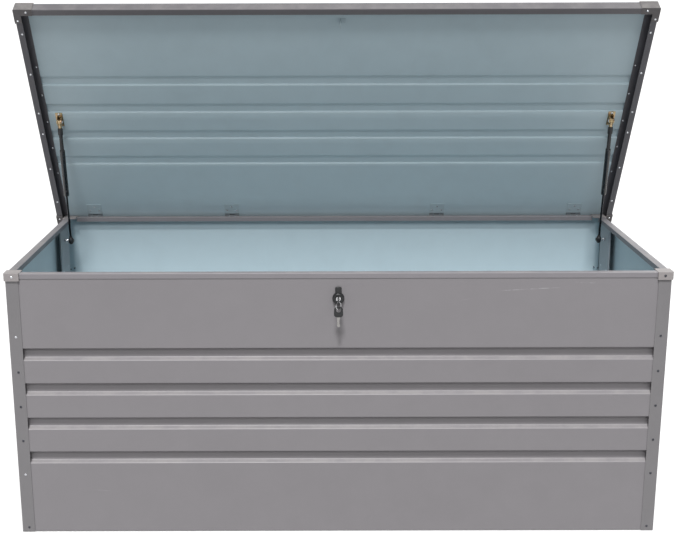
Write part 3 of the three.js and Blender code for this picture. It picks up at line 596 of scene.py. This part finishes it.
def stations(length, middles, half_mouth, half_floor):
    """Places along a sheet, close together over each rib's slopes."""
    fine = 7
    found = {0.0, length}
    count = 26
    found.update(length * k / count for k in range(1, count))
    for middle in middles:
        for side in (-1, 1):
            for k in range(-3, fine + 4):
                share = k / fine
                found.add(middle + side * (half_mouth + (half_floor - half_mouth) * share))
        found.add(middle)
    ordered = sorted(v for v in found if 0 <= v <= length)
    kept = [ordered[0]]
    for v in ordered[1:]:
        if v - kept[-1] > 0.3 * MM:
            kept.append(v)
    kept[-1] = length
    return kept


def pressed_sheet(width, height, middles, mouth, floor, depth, margin, slope, ripple, seed):
    """A pressed sheet in X and Z, outer face near y = 0 and ribs towards +Y: its points, then its faces."""
    up = stations(height, middles, mouth / 2, floor / 2)
    ends = [margin + slope * k / 7 for k in range(-3, 11)]
    even = [width * k / 30 for k in range(1, 30)]
    across = sorted({0.0, width, *even, *ends, *(width - v for v in ends)})
    across = [v for k, v in enumerate(across) if k == 0 or v - across[k - 1] > 0.1 * MM]
    across[-1] = width
    points = []
    for layer in (0.0, SHEET):
        for z in up:
            rib = max(soft_ramp((mouth / 2 - abs(z - m)) / (mouth / 2 - floor / 2)) for m in middles)
            for x in across:
                from_end = min(x, width - x)
                share = soft_ramp((from_end - margin) / slope)
                quiet = min(1.0, from_end / 0.08, z / 0.06, (height - z) / 0.06)
                wave = noise.noise(Vector((x * 2.6 + seed, seed * 1.7, z * 4.2)))
                wave += 0.4 * noise.noise(Vector((x * 7.1, seed, z * 9.3)))
                y = depth * rib * share + ripple * wave * max(quiet, 0.0) + layer
                points.append(Vector((x - width / 2, y, z)))
    columns = len(across)
    rows = len(up)
    size = columns * rows
    outer = []
    inner = []
    for r in range(rows - 1):
        for c in range(columns - 1):
            a = r * columns + c
            outer.append((a, a + 1, a + columns + 1, a + columns))
            inner.append((size + a, size + a + columns, size + a + columns + 1, size + a + 1))
    rim = []
    for c in range(columns - 1):
        top = (rows - 1) * columns + c
        rim.append((c, c + size, c + size + 1, c + 1))
        rim.append((top, top + 1, top + size + 1, top + size))
    for r in range(rows - 1):
        left = r * columns
        right = left + columns - 1
        rim.append((left, left + columns, left + columns + size, left + size))
        rim.append((right, right + size, right + columns + size, right + columns))
    return points, outer, inner, rim


def sheet_piece(name, node, sheet, turn, outer_material, inner_material, body):
    points, outer, inner, rim = sheet
    made = piece(name, points, outer + rim + inner, [outer_material, inner_material], body, turn, angle=50)
    first_inner = len(outer) + len(rim)
    for k, polygon in enumerate(made.data.polygons):
        polygon.material_index = 1 if k >= first_inner else 0
    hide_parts(node)
    return made


def rib_places(middle):
    return [middle + (k - 1.5) * RIB_PITCH for k in range(4)]


def make_walls():
    walls = (
        ("front", 0.0, 3.0),
        ("right", math.pi / 2, 11.0),
        ("rear", math.pi, 19.0),
        ("left", -math.pi / 2, 27.0),
    )
    for side, angle, seed in walls:
        node = f"{side}_panel"
        low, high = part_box(node)
        along = high.x - low.x if side in ("front", "rear") else high.y - low.y
        sheet = pressed_sheet(
            along, high.z - low.z, rib_places(WALL_RIB_MIDDLE - low.z), RIB_MOUTH, RIB_FLOOR,
            RIB_DEPTH, WALL_MARGIN, WALL_END_SLOPE, WALL_RIPPLE, seed)
        spots = {
            "front": Vector((0, low.y, low.z)),
            "rear": Vector((0, high.y, low.z)),
            "left": Vector((low.x, 0, low.z)),
            "right": Vector((high.x, 0, low.z)),
        }
        turn = Matrix.Translation(spots[side]) @ Matrix.Rotation(angle, 4, "Z")
        sheet_piece(f"{side}_sheet", node, sheet, turn, FRONT_PAINT, INNER_PAINT, "box")


def make_floor():
    low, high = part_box("floor_panel")
    length = high.y - low.y
    middles = [length / 2 + k * FLOOR_RIB_PITCH for k in (-2, -1, 0, 1, 2)]
    sheet = pressed_sheet(
        high.x - low.x, length, middles, FLOOR_RIB_MOUTH, FLOOR_RIB_FLOOR,
        FLOOR_RIB_DEPTH, FLOOR_MARGIN, FLOOR_END_SLOPE, 0.0, 35.0)
    turn = Matrix.Translation((0, high.y, low.z)) @ Matrix.Rotation(math.pi / 2, 4, "X")
    sheet_piece("floor_sheet", "floor_panel", sheet, turn, FLOOR_ZINC, FLOOR_ZINC, "box")


def make_lid_sheet():
    length = LID_REAR - LID_FRONT
    middles = rib_places(HINGE_Y - LID_RIB_MIDDLE - LID_FRONT)
    sheet = pressed_sheet(
        2 * LID_HALF_W, length, middles, RIB_MOUTH, LID_RIB_FLOOR,
        -LID_RIB_DEPTH, LID_MARGIN, LID_END_SLOPE, LID_RIPPLE, 43.0)
    laid = Matrix.Translation((0, LID_FRONT, LID_UNDERSIDE + SHEET)) @ Matrix.Rotation(-math.pi / 2, 4, "X")
    sheet_piece("lid_sheet", "lid_panel", sheet, LID_TURN @ laid, LID_PAINT, INNER_PAINT, "lid")


# ---------------------------------------------------------------- screws and rivets

# Head radius and height of each kind.
POST_SCREW = (3.1 * MM, 1.4 * MM)
LID_SCREW = (2.9 * MM, 1.4 * MM)
LEAF_SCREW = (2.8 * MM, 0.7 * MM)
HINGE_BASE_SCREW = (3.4 * MM, 1.4 * MM)
STRUT_SCREW = (3.6 * MM, 1.8 * MM)
FLAT_RIVET = (3.4 * MM, 0.9 * MM)
PIVOT_RIVET = (4.6 * MM, 2.0 * MM)
FASTENER_SPIN = 0.7  # each recess is turned a little further than the last


def screw_head(radius, height):
    """A pan head with a cross recess, standing on z = 0."""
    segments = 24
    rings = [
        [(radius, 0.0)] * segments,
        [(radius, 0.35 * height)] * segments,
        [(0.88 * radius, 0.72 * height)] * segments,
        [(0.68 * radius, 0.93 * height)] * segments,
    ]
    arms = {0: 0.52, 1: 0.34, 2: 0.20, 3: 0.17, 4: 0.20, 5: 0.34}
    star = [arms[k % 6] * radius for k in range(segments)]
    rings.append([(r, height) for r in star])
    rings.append([(0.85 * r, 0.45 * height) for r in star])
    points = []
    for ring in rings:
        for k, (r, z) in enumerate(ring):
            a = 2 * math.pi * k / segments
            points.append(Vector((r * math.cos(a), r * math.sin(a), z)))
    faces = []
    for level in range(len(rings) - 1):
        for k in range(segments):
            n = (k + 1) % segments
            base = level * segments
            faces.append((base + k, base + n, base + segments + n, base + segments + k))
    faces.append(tuple(range((len(rings) - 1) * segments, len(rings) * segments)))
    faces.append(tuple(range(segments - 1, -1, -1)))
    return points, faces


def rivet_head(radius, height):
    profile = [(0, 0), (radius, 0), (radius, 0.25 * height), (0.86 * radius, 0.62 * height)]
    profile += [(0.55 * radius, 0.92 * height), (0.2 * radius, height), (0, height)]
    return lathe(profile, 20)


def fasteners(name, places, body, material, head, turn=None):
    """One piece holding every fastener of a group. Each place is (point, direction)."""
    parts = []
    for k, (point, direction) in enumerate(places):
        matrix = facing(point, direction) @ Matrix.Rotation(FASTENER_SPIN * k, 4, "Z")
        if turn is not None:
            matrix = turn @ matrix
        parts.append(([matrix @ p for p in head[0]], head[1]))
    points, faces = joined(parts)
    return piece(name, points, faces, material, body, angle=40)


POST_SCREW_HEIGHTS = (0.533, 0.440, 0.34725, 0.2544, 0.1616)
POST_SCREW_IN = 18 * MM
FOOT_SCREW_HEIGHT = 12.5 * MM
CAP_SCREW_HEIGHT = 689 * MM
CAP_STANDS_OUT = 3.5 * MM
SCREW_TIP_IN = 2.9 * MM


def wall_faces():
    """Each corner's two outward directions, with the screw line's place on each."""
    for sx in (-1, 1):
        for sy in (-1, 1):
            yield Vector((sx * (HALF_W - POST_SCREW_IN), sy * HALF_D, 0)), Vector((0, sy, 0))
            yield Vector((sx * HALF_W, sy * (HALF_D - POST_SCREW_IN), 0)), Vector((sx, 0, 0))


def make_box_screws():
    dark = []
    bright = []
    tips = []
    for base, out in wall_faces():
        for z in POST_SCREW_HEIGHTS:
            spot = base + Vector((0, 0, z))
            is_bright = z in (POST_SCREW_HEIGHTS[0], POST_SCREW_HEIGHTS[-1]) and base.x < 0
            (bright if is_bright else dark).append((spot, out))
            tips.append((spot - out * SCREW_TIP_IN, -out))
        foot = base + Vector((0, 0, FOOT_SCREW_HEIGHT))
        dark.append((foot, out))
        cap = base + out * CAP_STANDS_OUT + Vector((0, 0, CAP_SCREW_HEIGHT))
        (bright if base.x < 0 else dark).append((cap, out))
    head = screw_head(*POST_SCREW)
    fasteners("post_screws_dark", dark, "box", DARK_SCREW, head)
    fasteners("post_screws_bright", bright, "box", BRIGHT_SCREW, head)
    point = lathe([(0, 0), (1.9 * MM, 0), (1.9 * MM, 5 * MM), (1.5 * MM, 8 * MM), (0, 10 * MM)], 12)
    fasteners("post_screw_tips", tips, "box", DARK_SCREW, point)


RAIL_RIVET_APART = 9 * MM
RAIL_RIVET_IN = 9 * MM
PLATE_RIVET_IN = 19 * MM
PLATE_RIVET_DEPTHS = (200 * MM, 266 * MM)
PLATE_RIVET_HEIGHTS = (110 * MM, 360 * MM, 560 * MM)


def make_rail_rivets():
    """Flat rivets that hold the rear rail beside each hinge, and the strut plates."""
    places = []
    for x in HINGE_PLACES:
        for side in (-1, 1):
            spot = Vector((x + side * RAIL_RIVET_APART, HALF_D - RAIL_RIVET_IN, RAIL_TOP))
            places.append((spot, Vector((0, 0, 1))))
    for sx in (-1, 1):
        for y in PLATE_RIVET_DEPTHS:
            for z in PLATE_RIVET_HEIGHTS:
                places.append((Vector((sx * (HALF_W - PLATE_RIVET_IN), y, z)), Vector((-sx, 0, 0))))
    fasteners("flat_rivets", places, "box", BRIGHT_SCREW, rivet_head(*FLAT_RIVET))


# Distances in mm from the hinge line towards the free edge.
LIP_SCREW_REACH = (661.8, 534.5, 404.8, 332.9, 205.8, 78.7)
FLANGE_SCREW_REACH = (540.0, 447.0, 354.0, 261.0, 168.0)
LIP_SCREW_IN = 11 * MM
FLANGE_SCREW_IN = 21.5 * MM
FLANGE_Z = LID_UNDERSIDE - 1.5 * MM
CORNER_SCREW_Z = LID_RIM - 1.9 * MM
CORNER_NEAR = 7 * MM
CORNER_FAR = 32 * MM
REAR_CORNER_NEAR = 8 * MM
REAR_CORNER_FAR = 30 * MM
FRONT_FLANGE_SCREW_X_IN = (100 * MM, 420 * MM, 740 * MM)
FRONT_FLANGE_SCREW_IN = 20 * MM


def make_lid_screws():
    down = Vector((0, 0, -1))
    lips = []
    flanges = []
    corners = []
    for sx in (-1, 1):
        for reach in LIP_SCREW_REACH:
            x = sx * (LID_HALF_W - LIP_SCREW_IN)
            lips.append((Vector((x, HINGE_Y - reach * MM, LID_RIM)), down))
        for reach in FLANGE_SCREW_REACH:
            x = sx * (LID_HALF_W - FLANGE_SCREW_IN)
            flanges.append((Vector((x, HINGE_Y - reach * MM, FLANGE_Z)), down))
        for x_in, y in (
            (CORNER_FAR, LID_FRONT + CORNER_NEAR),
            (CORNER_NEAR, LID_FRONT + CORNER_FAR),
            (REAR_CORNER_NEAR, LID_REAR - REAR_CORNER_FAR),
        ):
            corners.append((Vector((sx * (LID_HALF_W - x_in), y, CORNER_SCREW_Z)), down))
        for x_in in FRONT_FLANGE_SCREW_X_IN:
            spot = Vector((sx * (LID_HALF_W - x_in), LID_FRONT + FRONT_FLANGE_SCREW_IN, FLANGE_Z))
            flanges.append((spot, down))
    head = screw_head(*LID_SCREW)
    fasteners("lid_lip_screws", lips, "lid", BRIGHT_SCREW, head, LID_TURN)
    fasteners("lid_flange_screws", flanges, "lid", BRIGHT_SCREW, head, LID_TURN)
    fasteners("lid_corner_screws", corners, "lid", BRIGHT_SCREW, head, LID_TURN)


# ---------------------------------------------------------------- hinges


LEAF_SCREW_APART = 14 * MM
LEAF_SCREW_NEAR = 20 * MM
LEAF_SCREW_FAR = 34 * MM
LEAF_SCREW_Z = 698.2 * MM
BASE_FACE_OUT = 1.5 * MM
BASE_SCREW_HIGH = 678 * MM
BASE_SCREW_LOW = 667 * MM


def make_hinge_screws():
    """Three screws in each moving leaf and three in each fixed one."""
    leaf_screws = []
    base_screws = []
    down = Vector((0, 0, -1))
    back = Vector((0, 1, 0))
    base_y = HALF_D + BASE_FACE_OUT
    for x in HINGE_PLACES:
        for dx in (-LEAF_SCREW_APART, LEAF_SCREW_APART):
            leaf_screws.append((Vector((x + dx, HINGE_Y - LEAF_SCREW_NEAR, LEAF_SCREW_Z)), down))
            base_screws.append((Vector((x + dx, base_y, BASE_SCREW_HIGH)), back))
        leaf_screws.append((Vector((x, HINGE_Y - LEAF_SCREW_FAR, LEAF_SCREW_Z)), down))
        base_screws.append((Vector((x, base_y, BASE_SCREW_LOW)), back))
    fasteners("hinge_leaf_screws", leaf_screws, "lid", BRIGHT_SCREW, screw_head(*LEAF_SCREW), LID_TURN)
    fasteners("hinge_base_screws", base_screws, "box", BRIGHT_SCREW, screw_head(*HINGE_BASE_SCREW))


# ---------------------------------------------------------------- gas struts

STRUT_SIDE = 7.6 * MM  # from the strut's middle to the sides of its socket and its bracket
ROD_RADIUS = 3 * MM
ROD_START = 214 * MM
ROD_SHORT_OF_BALL = 12.8 * MM
BRACKET_SCREW_APART = 18 * MM
BRACKET_FACE = 1.8 * MM


def strut_frame(sx):
    """The strut's own frame at rest: its lid pivot at the origin, the strut along -Z."""
    shut = Vector((sx * STRUT_X, HINGE_Y - STRUT_PIVOT_REACH, LID_UNDERSIDE - STRUT_PIVOT_DROP))
    pivot = LID_TURN @ shut
    angle = math.atan2(BALL.y - pivot.y, pivot.z - BALL.z)
    length = math.hypot(BALL.y - pivot.y, BALL.z - pivot.z)
    return Matrix.Translation(pivot) @ Matrix.Rotation(angle, 4, "X"), length


def turned(profile, segments, turn):
    """A lathe body from (radius, height) pairs in mm."""
    return lathe([(a * MM, b * MM) for a, b in profile], segments, turn)


def strut_cylinder(turn):
    return turned([
        (0, -84.0), (4.4, -84.0), (6.6, -84.4), (7.4, -85.6), (7.5, -87.0), (7.5, -204.5), (7.2, -205.3),
        (7.2, -206.7), (7.5, -207.5), (7.5, -221.0), (7.1, -223.6), (6.2, -225.0), (3.5, -225.0),
        (3.4, -222.0), (0, -222.0),
    ], 48, turn)


def strut_upper_fitting(turn):
    """The neck above the cylinder and the ferrule on it."""
    neck = turned([
        (0, -39.0), (5.0, -39.0), (5.3, -40.0), (5.3, -48.0), (4.9, -48.6), (4.9, -50.0), (5.3, -50.6),
        (5.3, -82.0), (5.8, -83.0), (5.8, -84.6), (0, -84.6),
    ], 40, turn)
    ferrule = turned([
        (0, -18.6), (5.6, -18.6), (6.6, -19.5), (7.0, -21.5), (7.0, -36.5), (6.7, -38.6), (5.6, -39.6),
        (0, -39.6),
    ], 40, turn)
    return joined([neck, ferrule])


def strut_eye(turn):
    """The plated eye on the bracket's pivot, with its six-sided shoulder."""
    shoulder = turned([
        (0, -5.6), (3.9, -5.6), (4.0, -10.0), (5.2, -10.8), (5.4, -12.0), (5.4, -17.2), (5.0, -18.4),
        (0, -18.4),
    ], 6, turn)
    eye = turned([
        (3.4, -3.6), (5.9, -4.2), (7.0, -3.2), (7.0, 3.2), (5.9, 4.2), (3.4, 3.6), (3.4, -3.6),
    ], 40, turn @ Matrix.Rotation(math.pi / 2, 4, "Y"))
    return joined([shoulder, eye])


def strut_socket(sx, turn, length):
    """The socket on the ball, with the clip that closes its side."""
    down = turn @ Matrix.Translation((0, 0, -length))
    cup = turned([
        (0, 13.4), (3.7, 13.4), (4.1, 12.9), (4.3, 10.2), (5.4, 8.2), (6.9, 6.2), (7.8, 3.4),
        (8.0, 0.0), (7.7, -3.4), (6.6, -7.0), (4.9, -9.8), (2.6, -11.6), (0, -12.0),
    ], 40, down)
    inward = Vector((-sx, 0, 0))
    clip_place = Vector((sx * STRUT_X, BALL.y, BALL.z)) + inward * STRUT_SIDE
    clip = turned([(0, 0), (4.6, 0), (4.6, 0.6), (3.9, 1.1), (0, 1.1)], 28, facing(clip_place, inward))
    return joined([cup, clip])


def make_strut(sx, side):
    turn, length = strut_frame(sx)
    tube = f"strut_tube_{side}"
    rod = f"strut_rod_{side}"
    made = piece(f"strut_cylinder_{side}", *strut_cylinder(turn), TUBE_PAINT, tube, angle=32)
    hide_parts(tube)
    made = piece(f"strut_upper_fitting_{side}", *strut_upper_fitting(turn), BLACK_PLASTIC, tube, angle=32)
    made = piece(f"strut_eye_{side}", *strut_eye(turn), YELLOW_ZINC, tube, angle=32)
    end = length - ROD_SHORT_OF_BALL
    shaft = lathe([(0, -ROD_START), (ROD_RADIUS, -ROD_START), (ROD_RADIUS, -end), (0, -end)], 32, turn)
    made = piece(f"strut_shaft_{side}", *shaft, ROD_CHROME, rod, angle=32)
    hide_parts(rod)
    made = piece(f"strut_ball_socket_{side}", *strut_socket(sx, turn, length), BLACK_PLASTIC, rod)
    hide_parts(f"strut_socket_{side}")


def make_bracket_fasteners(sx, side):
    """The two pivot rivets through a bracket and the two screws that hold it to the lid."""
    pivot_y = HINGE_Y - STRUT_PIVOT_REACH
    pivot_z = LID_UNDERSIDE - STRUT_PIVOT_DROP
    rivets = []
    for out in (-1, 1):
        spot = Vector((sx * STRUT_X + out * STRUT_SIDE, pivot_y, pivot_z))
        rivets.append((spot, Vector((out, 0, 0))))
    name = f"strut_pivot_rivet_{side}"
    fasteners(name, rivets, "lid", NICKEL, rivet_head(*PIVOT_RIVET), LID_TURN)
    screws = []
    for dy in (-BRACKET_SCREW_APART, BRACKET_SCREW_APART):
        spot = Vector((sx * (STRUT_X + 1 * MM), pivot_y + dy, LID_UNDERSIDE - BRACKET_FACE))
        screws.append((spot, Vector((0, 0, -1))))
    name = f"strut_bracket_screws_{side}"
    fasteners(name, screws, "lid", BRIGHT_SCREW, screw_head(*STRUT_SCREW), LID_TURN)


def make_struts():
    for sx, side in ((-1, "left"), (1, "right")):
        make_strut(sx, side)
        make_bracket_fasteners(sx, side)


# ---------------------------------------------------------------- lock and keys


def lock_plate_outline():
    """A round face with a square-shouldered tongue that points up."""
    radius = LOCK_FACE_RADIUS
    half = LOCK_TONGUE_HALF
    top = LOCK_TONGUE_TOP
    start = math.asin(half / radius)
    outline = []
    count = 36
    for k in range(count + 1):
        a = math.pi / 2 + start + (2 * math.pi - 2 * start) * k / count
        outline.append((radius * math.cos(a), radius * math.sin(a)))
    outline += [(half, top - 3 * MM), (half - 1 * MM, top - 1 * MM), (half - 3 * MM, top)]
    outline += [(-half + 3 * MM, top), (-half + 1 * MM, top - 1 * MM), (-half, top - 3 * MM)]
    return outline


def upright(y):
    """Stands an (x, y) outline up in X and Z, its local Z looking out along -Y."""
    return Matrix.Translation((0, y, LOCK_Z)) @ Matrix.Rotation(math.pi / 2, 4, "X")


def make_lock():
    low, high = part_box("lock_housing")
    wall = -HALF_D + LOCK_WALL
    plate = slab(lock_plate_outline(), 0, wall - low.y - LOCK_FACE_BACK, upright(wall))
    made = piece("lock_face", *plate, BLACK_PLASTIC, "box")
    bevelled(made, 1.3 * MM, 4)
    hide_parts("lock_housing")
    bezel = turned([
        (0, 0), (13.6, 0), (13.6, 2.0), (12.8, 3.4), (11.2, 4.2), (8.2, 4.4), (7.4, 3.9), (6.4, 3.6),
        (0, 3.6),
    ], 48, upright(low.y + LOCK_BEZEL_DEPTH))
    piece("lock_bezel", *bezel, BLACK_PLASTIC, "box")
    long = (high.y - wall) / MM
    inward = Matrix.Translation((0, wall, LOCK_Z)) @ Matrix.Rotation(-math.pi / 2, 4, "X")
    body = turned([
        (0, 0), (9.3, 0), (9.3, 20), (8.8, 20.6), (8.8, 21.4), (9.3, 22), (9.3, long - 0.6), (8.6, long),
        (0, long),
    ], 40, inward)
    piece("lock_body", *body, BLACK_PLASTIC, "box")


def key_head_outline():
    """The key's head, its neck at the origin and its end at y = -27 mm."""
    right = []
    # Each corner runs from its first point to its last, pulled towards the middle one; in mm.
    corners = (((4, 0), (11.5, -1), (11.5, -9)), ((11, -20), (9.5, -27), (2, -27)))
    for start, middle, end in corners:
        for k in range(9):
            t = k / 8
            x = (1 - t) ** 2 * start[0] + 2 * t * (1 - t) * middle[0] + t * t * end[0]
            y = (1 - t) ** 2 * start[1] + 2 * t * (1 - t) * middle[1] + t * t * end[1]
            right.append((x * MM, y * MM))
    return [(-x, y) for x, y in right] + right[::-1]


def resampled_from(outline, centre, radius):
    """A round hole whose points lie in step with an outline's."""
    hole = []
    for x, y in outline:
        a = math.atan2(y - centre[1], x - centre[0])
        hole.append((centre[0] + radius * math.cos(a), centre[1] + radius * math.sin(a)))
    return hole


def make_key(name, node, turn, body):
    outline = key_head_outline()
    hole = resampled_from(outline, (0, -KEY_HOLE_BACK), KEY_HOLE_RADIUS)
    head = ring_slab(outline, hole, -KEY_HALF_THICK, KEY_HALF_THICK, turn)
    made = piece(f"{name}_head", *head, BLACK_PLASTIC, body)
    bevelled(made, 0.6 * MM, 3, 50)
    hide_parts(node)
    # The raised grip is the head's outline, narrower and much shorter, near the neck.
    pad_outline = [(x * 0.62, (y + 14 * MM) * 0.2 - 6.2 * MM) for x, y in outline]
    pads = [slab(pad_outline, 1.2 * MM, 1.9 * MM, turn), slab(pad_outline, -1.9 * MM, -1.2 * MM, turn)]
    grip = piece(f"{name}_grip", *joined(pads), BLACK_PLASTIC, body)
    bevelled(grip, 0.3 * MM, 2)
    teeth = [
        (-3.5, -1.0), (3.5, -1.0), (3.5, 4.0), (2.1, 6.0), (3.5, 8.0), (1.7, 10.5), (3.0, 13.0), (1.9, 16.0),
        (3.5, 18.5), (3.5, 23.0), (0.0, 26.0), (-3.5, 23.0),
    ]
    blade = slab([(x * MM, y * MM) for x, y in teeth], -1.0 * MM, 1.0 * MM, turn)
    steel = piece(f"{name}_blade", *blade, KEY_STEEL, body)
    bevelled(steel, 0.2 * MM, 2)


def make_keys():
    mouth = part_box("lock_barrel")[0].y
    start = mouth - 1 * MM
    inserted = Matrix.Translation((0, start, LOCK_Z)) @ Matrix.Rotation(math.pi / 2, 4, "Y")
    make_key("inserted_key", "key", inserted, "key")
    hole_y = start - KEY_HOLE_BACK
    ring_z = LOCK_Z - RING_SAG - RING_RADIUS
    spare_z = ring_z - RING_RADIUS - RING_SAG
    hung = Matrix.Translation((0, hole_y, spare_z - KEY_HOLE_BACK))
    hung = hung @ Matrix.Rotation(-math.pi / 2, 4, "X")
    make_key("hanging_key", "spare_key", hung, "spare_key")
    make_split_ring(Vector((0, hole_y, ring_z)))


def make_split_ring(centre):
    """A split ring of flat-wound wire: nearly two turns, ends stepped beside each other."""
    steps = 120
    section = 10
    facing_turn = Matrix.Rotation(math.pi / 4, 4, "Z") @ Matrix.Rotation(math.pi / 2, 4, "X")
    points = []
    for k in range(steps + 1):
        t = k / steps
        a = 2 * math.pi * RING_TURNS * t + 1.1
        lift = (t - 0.5) * RING_PITCH
        out = Vector((math.cos(a), math.sin(a), 0))
        middle = out * RING_RADIUS + Vector((0, 0, lift))
        for j in range(section):
            b = 2 * math.pi * j / section
            spot = middle + out * RING_WIRE_ACROSS * math.cos(b)
            spot += Vector((0, 0, RING_WIRE_ALONG * math.sin(b)))
            points.append(centre + facing_turn @ spot)
    faces = []
    for k in range(steps):
        for j in range(section):
            n = (j + 1) % section
            faces.append((k * section + j, k * section + n, (k + 1) * section + n, (k + 1) * section + j))
    faces.append(tuple(range(section - 1, -1, -1)))
    faces.append(tuple(steps * section + j for j in range(section)))
    made = piece("split_ring", points, faces, NICKEL, "key_ring", angle=60)
    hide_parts("key_ring")


# ---------------------------------------------------------------- carried-over CAD nodes

CORNERS = ("front_left", "front_right", "rear_left", "rear_right")
SIDES = ("front", "rear", "left", "right")
HINGE_NUMBERS = (1, 2, 3, 4)
EDGE = 0.4 * MM  # rounding of folded sheet
FINE_EDGE = 0.25 * MM  # rounding of small plated parts


def dress_nodes():
    dress(POST_SHADED_PAINT, [f"post_{c}" for c in CORNERS], 0.5 * MM)
    dress(FRAME_PAINT, ["top_rail_front", "top_rail_rear", "lid_rail_rear"], EDGE)
    dress(SIDE_RAIL_SHADED_PAINT, ["top_rail_left", "top_rail_right"], EDGE)
    dress(FRAME_PAINT, [f"bottom_rail_{s}" for s in SIDES], EDGE)
    dress(LID_RAIL_SHADED_PAINT, ["lid_rail_front"], EDGE)
    dress(LID_SIDE_SHADED_PAINT, ["lid_rail_left", "lid_rail_right"], EDGE)
    dress(PLATE_PAINT, ["strut_plate_left", "strut_plate_right"], EDGE)
    dress(CAP_PLASTIC, [f"cap_{c}" for c in CORNERS], 2.2 * MM, 5)
    dress(LID_CAP_PLASTIC, [f"lid_cap_{c}" for c in CORNERS], 0.8 * MM, 3)
    dress(SHADED_LEAF_PAINT, [f"hinge_base_{k}" for k in HINGE_NUMBERS], FINE_EDGE)
    dress(SHADED_LEAF_PAINT, [f"hinge_leaf_{k}" for k in HINGE_NUMBERS] + ["lid_striker"], FINE_EDGE)
    dress(ZINC, ["floor_support", "lock_nut", "lock_cam"], 0.3 * MM)
    dress(YELLOW_ZINC, ["strut_bracket_left", "strut_bracket_right"], EDGE)
    dress(NICKEL, ["ball_stud_left", "ball_stud_right", "lock_barrel"], FINE_EDGE)


# ---------------------------------------------------------------- studio

HORIZON_LIGHT = 0.60
GROUND_LIGHT = 0.42
SKY_LIGHT = 0.30
FLOOR_SPAN = 240.0
FLOOR_CELLS = 12
# Name, azimuth, elevation, angular size in degrees, strength. Azimuth 0 shines from the front.
LAMPS = (
    ("key", -7, 62, 11, 1.07),
    ("low_key", -4, 40, 14, 0.26),
    ("rear_fill", 165, 34, 50, 0.24),
)


def soft_sun(name, azimuth, elevation, spread, strength):
    """A sun lamp with soft-edged shadows."""
    data = bpy.data.lights.new(name, "SUN")
    data.energy = strength * math.pi
    data.angle = math.radians(spread)
    lamp = bpy.data.objects.new(name, data)
    bpy.context.scene.collection.objects.link(lamp)
    a = math.radians(azimuth)
    e = math.radians(elevation)
    towards = Vector((math.sin(a) * math.cos(e), -math.cos(a) * math.cos(e), math.sin(e)))
    aim(lamp, Vector((0, 0, 0)), towards * 6)


def aim(lamp, target, place):
    lamp.location = place
    lamp.rotation_mode = "QUATERNION"
    lamp.rotation_quaternion = (target - place).to_track_quat("-Z", "Y")


def make_world():
    """White light whose strength fades from the ground to the horizon and from there to the sky."""
    world = bpy.data.worlds.new("studio")
    bpy.context.scene.world = world
    world.use_nodes = True
    tree = world.node_tree
    sky = tree.nodes["Background"]
    where = tree.nodes.new("ShaderNodeTexCoord")
    split = tree.nodes.new("ShaderNodeSeparateXYZ")
    tree.links.new(where.outputs["Generated"], split.inputs[0])
    level = None
    fades = (
        (-0.25, 0.0, HORIZON_LIGHT - GROUND_LIGHT),
        (0.05, 0.30, SKY_LIGHT - HORIZON_LIGHT),
    )
    for start, end, change in fades:
        fade = tree.nodes.new("ShaderNodeMapRange")
        fade.interpolation_type = "SMOOTHSTEP"
        fade.inputs["From Min"].default_value = start
        fade.inputs["From Max"].default_value = end
        fade.inputs["To Max"].default_value = change
        tree.links.new(split.outputs["Z"], fade.inputs["Value"])
        total = tree.nodes.new("ShaderNodeMath")
        total.inputs[0].default_value = GROUND_LIGHT
        if level is not None:
            tree.links.new(level, total.inputs[0])
        tree.links.new(fade.outputs["Result"], total.inputs[1])
        level = total.outputs["Value"]
    tree.links.new(level, sky.inputs["Strength"])
    sky.inputs["Color"].default_value = (1.0, 1.0, 1.0, 1.0)


def make_studio_floor():
    """A pale floor that is seen but throws no light back on the box; the world's lower half does."""
    row = FLOOR_CELLS + 1
    points = [
        (FLOOR_SPAN * (c / FLOOR_CELLS - 0.5), FLOOR_SPAN * (r / FLOOR_CELLS - 0.5) + 2.0, -1 * MM)
        for r in range(row) for c in range(row)
    ]
    faces = []
    for r in range(FLOOR_CELLS):
        for c in range(FLOOR_CELLS):
            a = r * row + c
            faces.append((a, a + 1, a + row + 1, a + row))
    mesh = bpy.data.meshes.new("studio_floor")
    mesh.from_pydata(points, [], faces)
    mesh.materials.append(floor_card())
    floor = bpy.data.objects.new("studio_floor", mesh)
    bpy.context.scene.collection.objects.link(floor)
    floor.visible_diffuse = False


def make_studio():
    make_world()
    for name, azimuth, elevation, spread, strength in LAMPS:
        soft_sun(name, azimuth, elevation, spread, strength)
    make_studio_floor()


# ---------------------------------------------------------------- assembly

bpy.context.scene.view_settings.view_transform = "Standard"
dress_nodes()
make_walls()
make_floor()
make_lid_sheet()
make_box_screws()
make_rail_rivets()
make_lid_screws()
make_hinge_screws()
make_struts()
make_lock()
make_keys()
make_studio()

bpy.context.view_layer.update()
